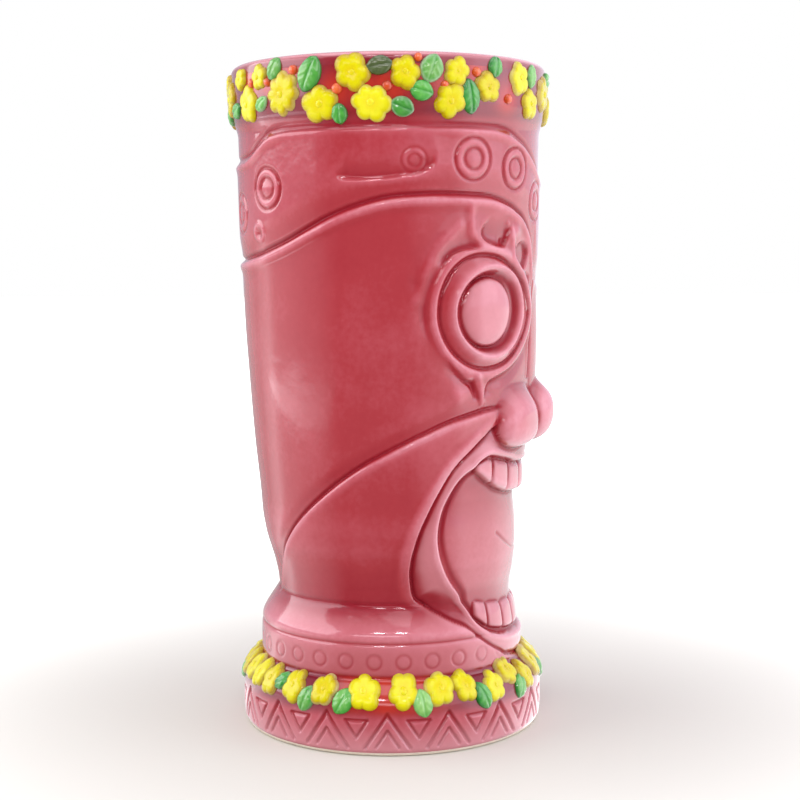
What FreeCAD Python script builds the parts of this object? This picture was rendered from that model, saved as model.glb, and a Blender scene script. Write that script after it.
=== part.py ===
import FreeCAD, Part
import math
import os

# A tall glazed tiki mug. The origin is the centre of the foot on the table, +Z is up and the carved
# face looks along -Y. Places on the wall are (angle, height): the angle is counted in degrees from
# the middle of the face, positive towards +X, so the point is (r sin a, -r cos a, z).
# Sizes are millimetres.

# Driving dimensions of the beaker
mug_height = 165.0
foot_height = 1.5
foot_outer = 37.8
foot_inner = 30.0
floor_height = 7.0
wall_thickness = 4.3
well_corner = 5.0
lip_bottom = 161.5
lip_outer = 39.3
lip_inner = 33.9
lip_round = 1.6
waist_radius = 28.8
waist_height = 35.5
collar_radius = 33.4
collar_bottom = 17.5
collar_top = 25.8
shoulder_bottom = 26.2
plinth_radius = 38.2
shoulder_top = 35.0
shoulder_radius = 33.2
plinth_slope_bottom = 11.5
band_bottom = 148.0
band_bottom_radius = 37.9
band_back = 37.0
band_radius = 39.3

# Outer wall above the waist, as (height, radius)
wall_points = [
    (waist_height, waist_radius), (39.0, 29.1), (45.0, 30.9), (51.0, 32.3), (60.0, 33.2), (72.0, 34.3),
    (90.0, 35.7), (108.0, 36.6), (126.0, 37.3), (147.0, 37.8), (lip_bottom, 38.0),
]
# Slopes of the plinth and of the shoulder, and the face of the rim band, as (height, radius)
plinth_slope = [(plinth_slope_bottom, plinth_radius), (14.0, 37.2), (16.2, 35.2), (collar_bottom, collar_radius)]
shoulder_slope = [
    (shoulder_bottom, shoulder_radius), (28.5, 32.6), (31.5, 30.8), (33.8, 29.3), (shoulder_top, waist_radius),
]
band_face = [
    (band_bottom, band_bottom_radius), (150.0, 38.5), (153.0, 39.1), (157.0, band_radius),
    (lip_bottom, band_radius),
]
# Front of the open mouth, from the chin up to the gum, as (height, radius)
mouth_points = [
    (19.0, 32.6), (24.0, 31.8), (33.0, 30.4), (39.0, 31.2), (45.0, 31.8), (51.0, 31.7), (57.0, 31.2),
    (62.0, 31.4), (68.0, 32.4), (80.0, 34.0),
]

# How far each clay addition stands off the wall under it
headband_lift = 0.8
medallion_lift = 0.6
cheek_lift = 0.8
eyelid_lift = 0.9
eye_ring_lift = 1.4
brow_lift = 0.8
lip_lift = 1.0
flower_lift = 1.3
centre_lift = 0.6
leaf_lift = 1.1
bud_lift = 0.9
bead_lift = 0.4
mouth_bed = 1.5

# Radial reach of the cutting prisms, and the smallest length and volume that count
reach_in = 12.0
reach_out = 60.0
tiny = 0.01

# Face features, as (angle from the middle of the face, height)
eye_place = (46.0, 105.3)
eye_radius = 8.2
eye_crown = 2.6
eye_ring_inner = 9.6
eye_ring_outline = [
    (67.5, 104.0), (64.0, 97.5), (56.0, 93.5), (45.0, 92.2), (34.0, 94.5), (24.0, 98.5), (17.5, 103.2),
    (20.5, 107.5), (27.0, 112.0), (36.0, 116.3), (46.0, 118.3), (56.0, 116.5), (64.0, 111.0),
]
eyelid_gap = 0.9
eyelid_width = 2.0
eyelid_stem = [(50.5, 91.4), (46.5, 91.4), (47.3, 82.8), (49.0, 82.8)]
brow_angle = 36.0
brow_outline = [
    (54.0, 130.5), (41.0, 130.0), (30.0, 127.0), (22.0, 121.0), (19.5, 114.0), (23.0, 114.5),
    (30.0, 119.0), (40.0, 121.8), (52.0, 121.6),
]
brow_pockets = [
    [(49.5, 124.5), (46.0, 127.0), (40.5, 127.0), (37.5, 124.0), (42.0, 122.6), (47.5, 122.4)],
    [(31.5, 119.8), (29.5, 122.6), (26.0, 122.0), (24.5, 118.5), (27.5, 117.8)],
]
cheek_line = [
    (0, 84.0), (39, 82.2), (56, 80.3), (76, 76.5), (96, 69.5), (116, 60.8), (136, 50.5), (150, 42.0),
    (165, 34.0), (180, 30.0),
]
cheek_front = 20.0
headband_low = [
    (0, 117.0), (9, 117.5), (18, 122.0), (27, 127.5), (40, 132.0), (60, 132.8), (86, 131.5), (106, 127.5),
    (126, 122.0), (150, 118.0), (180, 117.0),
]
headband_high = [
    (0, 139.0), (14, 141.0), (28, 145.5), (42, 147.6), (86, 148.0), (122, 147.6), (141, 144.8), (180, 142.0),
]
medallions = [
    (13.5, 132.6, 4.7), (33.0, 139.0, 4.9), (54.5, 141.0, 4.9), (77.5, 140.6, 3.4), (135.5, 134.7, 4.9),
    (158.5, 129.2, 4.8),
]
medallion_width = 0.9
medallion_button = 0.45

mouth_outline = [
    (39.5, 77.0), (46.5, 74.8), (54.5, 70.3), (62.5, 65.5), (69.5, 59.8), (74.0, 53.0), (76.5, 46.0),
    (76.0, 39.5), (71.0, 35.0), (60.0, 30.8), (50.0, 27.3), (40.0, 23.4), (28.0, 20.2), (14.0, 18.8),
    (0.0, 18.4),
]
mouth_inner = [
    (0.0, 69.0), (26.0, 69.6), (41.0, 70.0), (50.5, 67.2), (58.0, 62.8), (64.0, 56.5), (65.5, 50.0),
    (63.5, 44.0), (57.0, 38.5), (50.0, 34.0), (42.0, 29.5), (30.0, 26.0), (15.0, 24.8), (0.0, 24.5),
]
tooth_gap = 0.5
tooth_round = 0.8
upper_joints = [0.0, 13.0, 26.0, 38.0, 48.5]
upper_gum = [69.2, 69.2, 69.2, 69.2]
upper_edge = [59.8, 60.3, 62.2, 65.4]
upper_tooth_radius = 33.9
lower_joints = [0.0, 12.0, 24.5, 37.0, 45.5]
lower_gum = [25.6, 26.3, 28.0, 31.0]
lower_edge = [33.6, 33.6, 33.6, 33.6]
lower_tooth_radius = 31.6

nose_ball = (0.0, 79.5, 34.4, 8.4, 7.2, 8.6)
nose_wing = (23.5, 77.8, 33.2, 8.2, 6.2, 6.3)
nose_bridge = [(-11.0, 116.0), (-8.0, 97.0), (-9.5, 86.0), (9.5, 86.0), (8.0, 97.0), (11.0, 116.0)]
bridge_lift = 1.0

# Garlands: half of each ring, laid twice round the mug
# Flowers are (angle, height, radius, petals), leaves and buds (angle, height, length, width, turn)
garland_turns = [0.0, 180.0]
rim_flowers = [
    (-149.0, 161.0, 2.8, 5), (-144.0, 154.6, 4.4, 5), (-136.0, 160.5, 3.0, 5), (-124.5, 156.0, 5.1, 8),
    (-109.0, 153.4, 4.6, 5), (-97.5, 160.0, 4.5, 5), (-91.5, 153.4, 4.6, 6), (-80.0, 160.2, 3.9, 5),
    (-64.5, 153.8, 4.2, 5), (-62.0, 160.6, 3.5, 5), (-49.5, 157.2, 3.8, 5), (-34.0, 160.2, 3.9, 5),
    (-26.5, 154.6, 3.8, 5), (-13.0, 157.5, 4.8, 6), (-164.0, 157.0, 4.6, 6), (-177.0, 154.8, 4.0, 5),
    (-174.0, 161.0, 3.1, 5),
]
rim_leaves = [
    (-155.0, 153.8, 5.6, 3.8, 20.0), (-135.0, 154.4, 4.8, 3.2, 35.0), (-128.0, 162.0, 5.6, 4.2, 60.0),
    (-113.0, 160.2, 8.6, 6.0, 66.0), (-102.5, 151.0, 4.8, 4.0, 90.0), (-88.5, 161.6, 6.4, 4.4, 10.0),
    (-81.0, 152.4, 5.8, 4.6, -20.0), (-74.5, 156.0, 5.8, 4.8, -15.0), (-71.0, 161.0, 6.8, 5.6, 70.0),
    (-57.0, 155.0, 8.2, 5.2, 100.0), (-46.5, 162.0, 5.0, 4.2, 80.0), (-25.5, 161.0, 5.8, 3.6, 80.0),
    (-4.0, 161.6, 5.8, 3.8, 15.0), (-170.5, 153.4, 5.2, 3.6, 60.0),
]
rim_buds = [
    (-141.0, 159.5, 1.2), (-131.5, 159.2, 1.1), (-119.5, 161.4, 1.2), (-103.0, 156.6, 1.3),
    (-86.0, 157.0, 1.2), (-75.6, 163.4, 1.0), (-66.5, 157.4, 1.0), (-54.5, 160.6, 1.2),
    (-40.0, 155.0, 1.2),
]
base_flowers = [
    (-177.0, 15.4, 3.5, 5), (-167.5, 14.8, 3.4, 5), (-158.0, 15.2, 3.5, 5), (-149.0, 14.8, 3.4, 5),
    (-139.5, 14.8, 3.6, 5), (-126.0, 14.8, 3.7, 5), (-112.0, 15.0, 3.6, 5), (-96.5, 15.2, 4.1, 5),
    (-81.5, 15.2, 4.0, 5), (-67.0, 15.4, 3.9, 5), (-57.0, 15.2, 3.5, 5), (-43.5, 14.2, 3.5, 5),
    (-33.0, 16.4, 3.5, 5), (-22.5, 13.8, 3.5, 5), (-10.0, 15.4, 4.0, 6),
]
base_leaves = [
    (-133.0, 15.0, 5.0, 3.6, 30.0), (-119.0, 12.5, 6.2, 4.6, 70.0), (-104.0, 12.9, 6.4, 5.0, 60.0),
    (-74.5, 12.6, 6.4, 4.8, 100.0), (-50.0, 12.6, 6.6, 4.8, 110.0), (-29.0, 12.2, 6.0, 4.6, 60.0),
    (-172.5, 12.4, 5.6, 4.0, 80.0), (-1.0, 12.6, 5.8, 4.0, 100.0),
]

# Surfaces that the garlands lie on, as (height, radius)
band_face_points = [(150.2, 38.55), (153.0, 39.1), (157.0, band_radius), (164.5, band_radius)]
plinth_face_points = [
    (8.0, plinth_radius), (11.5, plinth_radius), (14.0, 37.2), (16.2, 35.2), (17.5, 34.0), (19.5, collar_radius),
]
seam_turn = 4.0
petal_share = 0.36
centre_share = 0.3
flower_clearance = 0.15
leaf_clearance = 0.3
neighbour_angle = 20.0

# Carved zigzag round the plinth, as strokes from (angle, height) to (angle, height)
chevron_count = 16
chevron_start = 2.5
chevron_strokes = [
    (0.0, 10.2, 8.0, 2.2), (0.0, 10.2, -8.0, 2.2), (0.0, 6.4, 4.0, 2.4), (0.0, 6.4, -4.0, 2.4),
    (7.0, 8.8, 15.5, 8.8), (7.0, 8.8, 11.25, 4.6), (15.5, 8.8, 11.25, 4.6),
]
stroke_width = 0.7
stroke_depth = 0.45
stroke_bar = 2.0

bead_count = 24
bead_start = 45.0
bead_step = 12.0
bead_height = 21.7
bead_radius = 1.7
bead_core = 0.9
bead_gap = 0.3


def vec(x, y, z):
    return FreeCAD.Vector(x, y, z)


def spline_rz(points, lift=0.0):
    """Smooth edge through (height, radius) points, in the plane y = 0."""
    curve = Part.BSplineCurve()
    curve.interpolate([vec(r + lift, 0, z) for z, r in points])
    return curve.toShape()


def line(a, b):
    return Part.makeLine(vec(a[0], 0, a[1]), vec(b[0], 0, b[1]))


def revolve(edges):
    """Full turn about Z of the closed outline made by the edges."""
    wire = Part.Wire(Part.__sortEdges__(edges))
    return Part.Face(wire).revolve(vec(0, 0, 0), vec(0, 0, 1), 360)


def bulk(points, lift):
    """Everything inside the surface that turns (height, radius) points, pushed out by lift."""
    edge = spline_rz(points, lift)
    z_low, r_low = points[0]
    z_high, r_high = points[-1]
    sides = [
        line((0, z_low), (r_low + lift, z_low)),
        line((r_high + lift, z_high), (0, z_high)),
        line((0, z_high), (0, z_low)),
    ]
    return revolve([edge] + sides)


def skin(points, low, high):
    """Layer over a turned surface, from low to high off it."""
    return bulk(points, high).cut(bulk(points, low))


def radius_at(points, z):
    """Radius of a (height, radius) profile at a height, straight between its points."""
    for (z0, r0), (z1, r1) in zip(points, points[1:]):
        if z <= z1:
            return r0 + (r1 - r0) * (z - z0) / (z1 - z0)
    return points[-1][1]


def turned(shape, angle):
    """The shape swung about Z from the middle of the face to an angle round the mug."""
    copy = shape.copy()
    copy.rotate(vec(0, 0, 0), vec(0, 0, 1), angle)
    return copy


def mirrored(shape):
    return shape.mirror(vec(0, 0, 0), vec(1, 0, 0))


def closed_curve(flat, smooth):
    """Closed wire through (across, height) points on the plane y = -reach_in."""
    points = [vec(u, -reach_in, z) for u, z in flat]
    if not smooth:
        return Part.makePolygon(points + points[:1])
    curve = Part.BSplineCurve()
    curve.interpolate(points, PeriodicFlag=True)
    return Part.Wire(curve.toShape())


def prism(flat, smooth=True):
    """Closed outline of (across, height) points, run out through the wall along -Y."""
    face = Part.Face(closed_curve(flat, smooth))
    return face.extrude(vec(0, reach_in - reach_out, 0))


def outline_prism(outline, centre, profile, smooth=True):
    """Prism of an (angle, height) outline, pointing out of the wall at the centre angle."""
    flat = [(radius_at(profile, z) * math.sin(math.radians(a - centre)), z) for a, z in outline]
    return turned(prism(flat, smooth), centre)


def rod(across, z, radius):
    """Round bar along -Y."""
    return Part.makeCylinder(radius, reach_out - reach_in, vec(across, -reach_in, z), vec(0, -1, 0))


def ellipsoid(angle, z, centre_radius, half_across, half_out, half_high):
    """Ellipsoid standing off the wall."""
    ball = Part.makeSphere(1.0)
    stretch = FreeCAD.Matrix()
    stretch.scale(half_across, half_out, half_high)
    shape = ball.transformGeometry(stretch)
    shape.translate(vec(0, -centre_radius, z))
    return turned(shape, angle)


def above(line_points):
    """Everything over a line of (angle, height) points that runs right round the mug."""
    full = [(a, z) for a, z in line_points] + [(-a, z) for a, z in reversed(line_points[1:-1])]
    rails = []
    for r in (reach_in, reach_out):
        curve = Part.BSplineCurve()
        around = [(math.radians(a), z) for a, z in full]
        curve.interpolate([vec(r * math.sin(a), -r * math.cos(a), z) for a, z in around], PeriodicFlag=True)
        rails.append(curve.toShape())
    return Part.makeRuledSurface(*rails).extrude(vec(0, 0, 2 * mug_height))


def solids_of(shapes):
    """One compound of all the separate solids in the shapes."""
    solids = [solid for shape in shapes for solid in shape.Solids]
    return Part.makeCompound(solids)


def save(name, shape):
    solids = shape.Solids
    result = solids[0] if len(solids) == 1 else Part.makeCompound(solids)
    result.exportStep(f"parts/{name}.step")
    print(f"{name}: {len(solids)} solids, {result.Volume / 1000:.2f} cm3, valid {result.isValid()}")


def vessel():
    """Hollow beaker: floor, straight well below the waist, wall that widens to the lip."""
    well = waist_radius - wall_thickness
    outside = spline_rz(wall_points)
    inside = spline_rz(wall_points, -wall_thickness)
    top_radius = wall_points[-1][1]
    bend = well_corner * (1 - math.sqrt(0.5))
    corner = Part.Arc(
        vec(well - well_corner, 0, floor_height),
        vec(well - bend, 0, floor_height + bend),
        vec(well, 0, floor_height + well_corner),
    ).toShape()
    return revolve([
        outside, inside, corner,
        line((0, foot_height), (waist_radius, foot_height)),
        line((waist_radius, foot_height), (waist_radius, waist_height)),
        line((top_radius, lip_bottom), (top_radius - wall_thickness, lip_bottom)),
        line((well, waist_height), (well, floor_height + well_corner)),
        line((well - well_corner, floor_height), (0, floor_height)),
        line((0, floor_height), (0, foot_height)),
    ])


def ring(outer, inner, low, high):
    """Plain ring about Z."""
    tall = high - low
    hole = Part.makeCylinder(inner, tall, vec(0, 0, low))
    return Part.makeCylinder(outer, tall, vec(0, 0, low)).cut(hole)


def foot_ring():
    """Bare clay ring that the mug stands on."""
    return ring(foot_outer, foot_inner, 0, foot_height)


def plinth():
    """Wide base ring with a rounded shoulder under the collar."""
    return revolve([
        spline_rz(plinth_slope),
        line((waist_radius, foot_height), (plinth_radius, foot_height)),
        line((plinth_radius, foot_height), (plinth_radius, plinth_slope_bottom)),
        line((collar_radius, collar_bottom), (waist_radius, collar_bottom)),
        line((waist_radius, collar_bottom), (waist_radius, foot_height)),
    ])


def chevron_grooves():
    """One bar for every carved stroke, sunk into the plinth by the depth of the carving."""
    bars = []
    for angle, z, end_angle, end_z in chevron_strokes:
        middle = (angle + end_angle) / 2
        across = plinth_radius * math.radians(end_angle - angle)
        rise = end_z - z
        length = math.hypot(across, rise)
        bar = Part.makeBox(length, stroke_bar, stroke_width)
        bar.translate(vec(-length / 2, stroke_depth - plinth_radius - stroke_bar, -stroke_width / 2))
        bar.rotate(vec(0, 0, 0), vec(0, 1, 0), -math.degrees(math.atan2(rise, across)))
        bar.translate(vec(0, 0, (z + end_z) / 2))
        for k in range(chevron_count):
            bars.append(turned(bar, middle + chevron_start + k * 360 / chevron_count))
    return Part.makeCompound(bars)


def collar():
    return ring(collar_radius, waist_radius, collar_bottom, collar_top)


def shoulder():
    """Rounded step from the collar in to the waist."""
    return revolve([
        spline_rz(shoulder_slope),
        line((waist_radius, shoulder_bottom), (shoulder_radius, shoulder_bottom)),
        line((waist_radius, shoulder_top), (waist_radius, shoulder_bottom)),
    ])


def rim_band():
    """Raised painted band under the lip that carries the garland."""
    body = revolve([
        spline_rz(band_face),
        line((band_back, band_bottom), (band_bottom_radius, band_bottom)),
        line((band_radius, lip_bottom), (band_back, lip_bottom)),
        line((band_back, lip_bottom), (band_back, band_bottom)),
    ])
    return body.cut(bulk(wall_points, 0))


def lip():
    """Rounded drinking edge."""
    body = ring(lip_outer, lip_inner, lip_bottom, mug_height)
    top_edges = [e for e in body.Edges if e.BoundBox.ZMin > mug_height - tiny]
    return body.makeFillet(lip_round, top_edges)


def headband():
    layer = skin(wall_points, 0, headband_lift)
    return layer.common(above(headband_low)).cut(above(headband_high))


def headband_medallions():
    """Raised rings, each with a button in its middle, along the headband."""
    layer = skin(wall_points, headband_lift, headband_lift + medallion_lift)
    pieces = []
    for angle, z, radius in medallions:
        hoop = rod(0, z, radius).cut(rod(0, z, radius - medallion_width))
        button = rod(0, z, radius * medallion_button)
        for side in (-1, 1):
            pieces.append(layer.common(turned(hoop, side * angle)))
            pieces.append(layer.common(turned(button, side * angle)))
    return solids_of(pieces)


def eye(mug):
    """Low dome, round where it meets the wall."""
    angle, z = eye_place
    ball_radius = (eye_radius ** 2 + eye_crown ** 2) / (2 * eye_crown)
    centre = radius_at(wall_points, z) + eye_crown - ball_radius
    ball = Part.makeSphere(ball_radius, vec(0, -centre, z))
    dome = turned(ball.common(rod(0, z, eye_radius)), angle)
    return dome.cut(mug)


def grown(outline, centre, width):
    """Outline of (angle, height) points pushed away from its centre by a width."""
    angle, z = centre
    scale = radius_at(wall_points, z) * math.pi / 180
    result = []
    for a, h in outline:
        across = (a - angle) * scale
        up = h - z
        away = math.hypot(across, up)
        share = (away + width) / away
        result.append((angle + across * share / scale, z + up * share))
    return result


def eye_ring():
    """Almond rim round the eye, pointed towards the nose."""
    angle, z = eye_place
    almond = outline_prism(eye_ring_outline, angle, wall_points)
    hole = turned(rod(0, z, eye_ring_inner), angle)
    return skin(wall_points, 0, eye_ring_lift).common(almond).cut(hole)


def eyelid():
    """Thin fold that follows the almond outside, with a short stem down the cheek."""
    angle = eye_place[0]
    inner = outline_prism(grown(eye_ring_outline, eye_place, eyelid_gap), angle, wall_points)
    outer = outline_prism(grown(eye_ring_outline, eye_place, eyelid_gap + eyelid_width), angle, wall_points)
    stem = outline_prism(eyelid_stem, angle, wall_points, smooth=False)
    fold = outer.fuse(stem).cut(inner)
    return skin(wall_points, 0, eyelid_lift).common(fold)


def brow(lid):
    """Raised brow with two hollows in it."""
    shape = skin(wall_points, 0, brow_lift).common(outline_prism(brow_outline, brow_angle, wall_points))
    for pocket in brow_pockets:
        shape = shape.cut(outline_prism(pocket, brow_angle, wall_points))
    return shape.cut(lid).cut(above(headband_low))


def front_outline(half, profile):
    """Closed (across, height) outline from its +X half, given top to bottom as (angle, height)."""
    right = [(radius_at(profile, z) * math.sin(math.radians(a)), z) for a, z in half]
    left = [(-u, z) for u, z in reversed(right) if u > tiny]
    return right + left


def mouth_prisms():
    """Prisms of the outer and the inner edge of the lips."""
    return (
        prism(front_outline(mouth_outline, mouth_points)),
        prism(front_outline(mouth_inner, mouth_points)),
    )


def tooth(a0, a1, top, bottom, radius, bed):
    """One tooth: a rounded block between two angles, on the bed of the mouth."""
    middle = (a0 + a1) / 2
    half = radius * math.radians(a1 - a0) / 2 - tooth_gap / 2
    block = Part.makeBox(2 * half, radius - reach_in, top - bottom, vec(-half, -radius, bottom))
    front = [e for e in block.Edges if e.BoundBox.YMax < tiny - radius]
    return turned(block.makeFillet(tooth_round, front), middle).cut(bed)


def teeth_row(joints, tops, bottoms, radius, bed):
    teeth = []
    for k in range(len(joints) - 1):
        for side in (-1, 1):
            a0, a1 = sorted((side * joints[k], side * joints[k + 1]))
            teeth.append(tooth(a0, a1, tops[k], bottoms[k], radius, bed))
    return solids_of(teeth)


def cheek(mouth):
    """Layer under the line that falls from the nose to the back of the waist, on the +X side."""
    layer = skin(wall_points, 0, cheek_lift).cut(above(cheek_line)).cut(mouth)
    half_box = Part.makeBox(reach_out, 2 * reach_out, mug_height, vec(0, -reach_out, 0))
    nose_box = Part.makeBox(cheek_front, reach_out, mug_height, vec(0, -reach_out, 0))
    return layer.common(half_box).cut(nose_box)


def nose(mug):
    """Ball tip, two wings and the bridge that runs up between the eyes."""
    shape = ellipsoid(*nose_ball)
    for side in (-1, 1):
        angle = side * nose_wing[0]
        shape = shape.fuse(ellipsoid(angle, *nose_wing[1:]))
    bridge = skin(wall_points, 0, bridge_lift).common(outline_prism(nose_bridge, 0, wall_points, smooth=False))
    return shape.fuse(bridge).cut(mug).removeSplitter()


def lips(outer, hole, backing):
    """Broad rim round the open mouth, from the upper lip down to the chin."""
    return bulk(mouth_points, lip_lift).common(outer).cut(hole).cut(backing)


def paired_pieces(mug, mouth):
    """The face pieces of the +X side, which the -X side mirrors."""
    lid = eyelid()
    return {"eye": eye(mug), "eye_ring": eye_ring(), "eyelid": lid, "brow": brow(lid), "cheek": cheek(mouth)}


def garland_layers(points):
    """Layers for the flowers, their centres, the leaves and the buds over a turned surface."""
    steps = [(0, flower_lift), (flower_lift, flower_lift + centre_lift), (0, leaf_lift), (0, bud_lift)]
    return [turned(skin(points, low, high), seam_turn) for low, high in steps]


def flower_prism(radius, petals):
    """Petals round a core, as one bar along -Y at height 0."""
    petal = radius * petal_share
    shape = rod(0, 0, radius - petal)
    for k in range(petals):
        turn = 2 * math.pi * k / petals
        shape = shape.fuse(rod((radius - petal) * math.sin(turn), (radius - petal) * math.cos(turn), petal))
    return shape


def leaf_prism(length, width, turn):
    """Leaf of two arcs that meet in points, as a bar along -Y at height 0, turned in its own plane."""
    half = length / 2
    tips = [vec(-half, -reach_in, 0), vec(half, -reach_in, 0)]
    arcs = [Part.Arc(tips[0], vec(0, -reach_in, side * width / 2), tips[1]).toShape() for side in (1, -1)]
    bar = Part.Face(Part.Wire(arcs)).extrude(vec(0, reach_in - reach_out, 0))
    bar.rotate(vec(0, 0, 0), vec(0, 1, 0), turn)
    return bar


def laid(shape, angle, z):
    """A bar moved up to a height and swung round to an angle."""
    copy = shape.copy()
    copy.translate(vec(0, 0, z))
    return turned(copy, angle)


def garland(flowers, leaves, buds, layers):
    """Flowers, flower centres, leaves and buds of one ring, cut so that none runs into another."""
    flower_layer, centre_layer, leaf_layer, bud_layer = layers
    bars = []
    groups = {"flowers": [], "centres": [], "leaves": [], "buds": []}
    for turn in garland_turns:
        for angle, z, radius, petals in flowers:
            bar = laid(flower_prism(radius, petals), angle + turn, z)
            groups["flowers"].append(clipped(flower_layer.common(bar), bars, angle + turn))
            centre = laid(rod(0, 0, radius * centre_share), angle + turn, z)
            groups["centres"].append(centre_layer.common(centre))
            bars.append((angle + turn, laid(flower_prism(radius + flower_clearance, petals), angle + turn, z)))
        for angle, z, length, width, lean in leaves:
            bar = laid(leaf_prism(length, width, lean), angle + turn, z)
            groups["leaves"].append(clipped(leaf_layer.common(bar), bars, angle + turn))
            room = leaf_prism(length + leaf_clearance, width + leaf_clearance, lean)
            bars.append((angle + turn, laid(room, angle + turn, z)))
        for angle, z, radius in buds:
            bar = laid(rod(0, 0, radius), angle + turn, z)
            groups["buds"].append(clipped(bud_layer.common(bar), bars, angle + turn))
    return {name: solids_of(shapes) for name, shapes in groups.items()}


def clipped(piece, bars, angle):
    """The piece less the neighbours already laid close to its angle."""
    for other, bar in bars:
        apart = abs((other - angle + 180) % 360 - 180)
        if apart < neighbour_angle:
            piece = piece.cut(bar)
    return largest(piece)


def largest(shape):
    """The biggest solid of a shape, without slivers."""
    return max(shape.Solids, key=lambda solid: solid.Volume) if shape.Solids else shape


def collar_beads(mouth):
    """Small raised rings round the collar, each with a point in its middle, left out at the mouth."""
    layer = ring(collar_radius + bead_lift, collar_radius, collar_bottom, collar_top)
    bead = rod(0, bead_height, bead_radius).cut(rod(0, bead_height, bead_core + bead_gap))
    point = rod(0, bead_height, bead_core)
    pieces = []
    for k in range(bead_count):
        for bar in (bead, point):
            piece = layer.common(turned(bar, bead_start + bead_step * k))
            if piece.common(mouth).Volume < tiny:
                pieces.append(piece)
    return solids_of(pieces)


os.makedirs("parts", exist_ok=True)

# The lips, tongue and teeth fill a shallow recess that is cut into the front of the beaker
mouth_outer, mouth_hole = mouth_prisms()
mouth_bed_solid = bulk(mouth_points + [(mug_height, reach_out)], -mouth_bed)
recess = mouth_outer.cut(mouth_bed_solid)
core = Part.makeCylinder(waist_radius, waist_height - foot_height, vec(0, 0, foot_height))
filled_beaker = bulk(wall_points, 0).fuse(core)
bed = filled_beaker.cut(recess)

save("vessel", vessel().cut(recess))
save("foot_ring", foot_ring())
save("plinth", plinth().cut(chevron_grooves()))
save("collar", collar().cut(mouth_outer))
save("shoulder", shoulder().cut(mouth_outer))
save("rim_band", rim_band())
save("lip", lip())
save("headband", headband())
save("headband_medallions", headband_medallions())

for name, shape in paired_pieces(filled_beaker, mouth_outer).items():
    save("left_" + name, shape)
    save("right_" + name, mirrored(shape))

nose_shape = nose(filled_beaker)
upper_teeth = teeth_row(upper_joints, upper_gum, upper_edge, upper_tooth_radius, bed)
lower_teeth = teeth_row(lower_joints, lower_edge, lower_gum, lower_tooth_radius, bed)
save("nose", nose_shape)
save("upper_teeth", upper_teeth)
save("lower_teeth", lower_teeth)
save("lips", lips(mouth_outer, mouth_hole, bed).cut(nose_shape).cut(upper_teeth).cut(lower_teeth))
inner_mouth = bulk(mouth_points, 0).common(mouth_hole).cut(bed).cut(upper_teeth).cut(lower_teeth)
save("tongue", largest(inner_mouth))

rim = garland(rim_flowers, rim_leaves, rim_buds, garland_layers(band_face_points))
for name, shape in rim.items():
    save("rim_" + name, shape)
base = garland(base_flowers, base_leaves, [], garland_layers(plinth_face_points))
for name in ("flowers", "centres", "leaves"):
    save("base_" + name, base[name])
save("collar_beads", collar_beads(mouth_outer))
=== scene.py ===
import math
import bpy
import numpy as np
from mathutils import Matrix, Vector


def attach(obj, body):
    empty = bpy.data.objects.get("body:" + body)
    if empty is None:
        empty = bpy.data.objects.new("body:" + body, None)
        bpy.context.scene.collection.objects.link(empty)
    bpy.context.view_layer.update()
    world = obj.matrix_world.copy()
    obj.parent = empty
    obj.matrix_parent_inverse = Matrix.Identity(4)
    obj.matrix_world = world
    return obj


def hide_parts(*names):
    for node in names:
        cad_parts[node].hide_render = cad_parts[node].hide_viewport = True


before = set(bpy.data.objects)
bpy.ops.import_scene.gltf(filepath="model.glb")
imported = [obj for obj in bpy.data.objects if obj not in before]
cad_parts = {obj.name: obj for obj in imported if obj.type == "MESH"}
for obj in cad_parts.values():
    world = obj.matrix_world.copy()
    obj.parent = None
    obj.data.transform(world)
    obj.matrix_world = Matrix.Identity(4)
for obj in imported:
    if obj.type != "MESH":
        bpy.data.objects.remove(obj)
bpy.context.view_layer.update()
mm = 0.001

# Places on the mug are worked out in millimetres as (angle, height). The angle is in degrees from the
# middle of the face, positive towards +X, so a point is (r sin a, -r cos a, z).

# Shader nodes

def fill(tree, target, inputs):
    # a node's inputs, each a plain value or the socket that it is linked to
    for key, value in inputs.items():
        if isinstance(value, bpy.types.NodeSocket):
            tree.links.new(value, target.inputs[key])
        else:
            target.inputs[key].default_value = value


def added(tree, kind, inputs, **settings):
    # a new node with its settings and its inputs
    node = tree.nodes.new(kind)
    for key, value in settings.items():
        setattr(node, key, value)
    fill(tree, node, inputs)
    return node


def maths(tree, operation, *values):
    # one sum on numbers or sockets
    return added(tree, "ShaderNodeMath", dict(enumerate(values)), operation=operation).outputs[0]


def mixed(tree, factor, a, b, kind="RGBA"):
    return added(tree, "ShaderNodeMix", {"Factor": factor, "A": a, "B": b}, data_type=kind).outputs["Result"]


def linear(colour):
    # an 0-255 screen colour as linear light
    c = np.asarray(colour, float) / 255
    return tuple(np.where(c <= 0.04045, c / 12.92, ((c + 0.055) / 1.055) ** 2.4))


def ramped(tree, factor, stops):
    # a colour ramp through (position, linear colour) stops
    node = added(tree, "ShaderNodeValToRGB", {"Fac": factor})
    elements = node.color_ramp.elements
    while len(elements) < len(stops):
        elements.new(0.5)
    for element, (position, colour) in zip(elements, stops):
        element.position = position
        element.color = (*colour, 1)
    return node.outputs["Color"]


def compassRamp(tree, place, stops, tint):
    # a colour that runs round with the compass angle atan2(y, x), from (degrees, level) stops
    split = added(tree, "ShaderNodeSeparateXYZ", {0: place})
    share = maths(tree, "DIVIDE", maths(tree, "ARCTAN2", split.outputs["Y"], split.outputs["X"]), 2 * math.pi)
    colours = [(way / 360, [level * c for c in tint]) for way, level in stops]
    return ramped(tree, maths(tree, "FRACT", share), colours)


# Camera, lights and room

view = {
    "place": (-0.3934, -0.0300, 0.11894),
    "aim": math.radians(4.0),          # turn from +X towards +Y
    "pitch": 0.0943393,                # down
    "roll": -0.0062559,
    "lens": 69.42,
}


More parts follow.
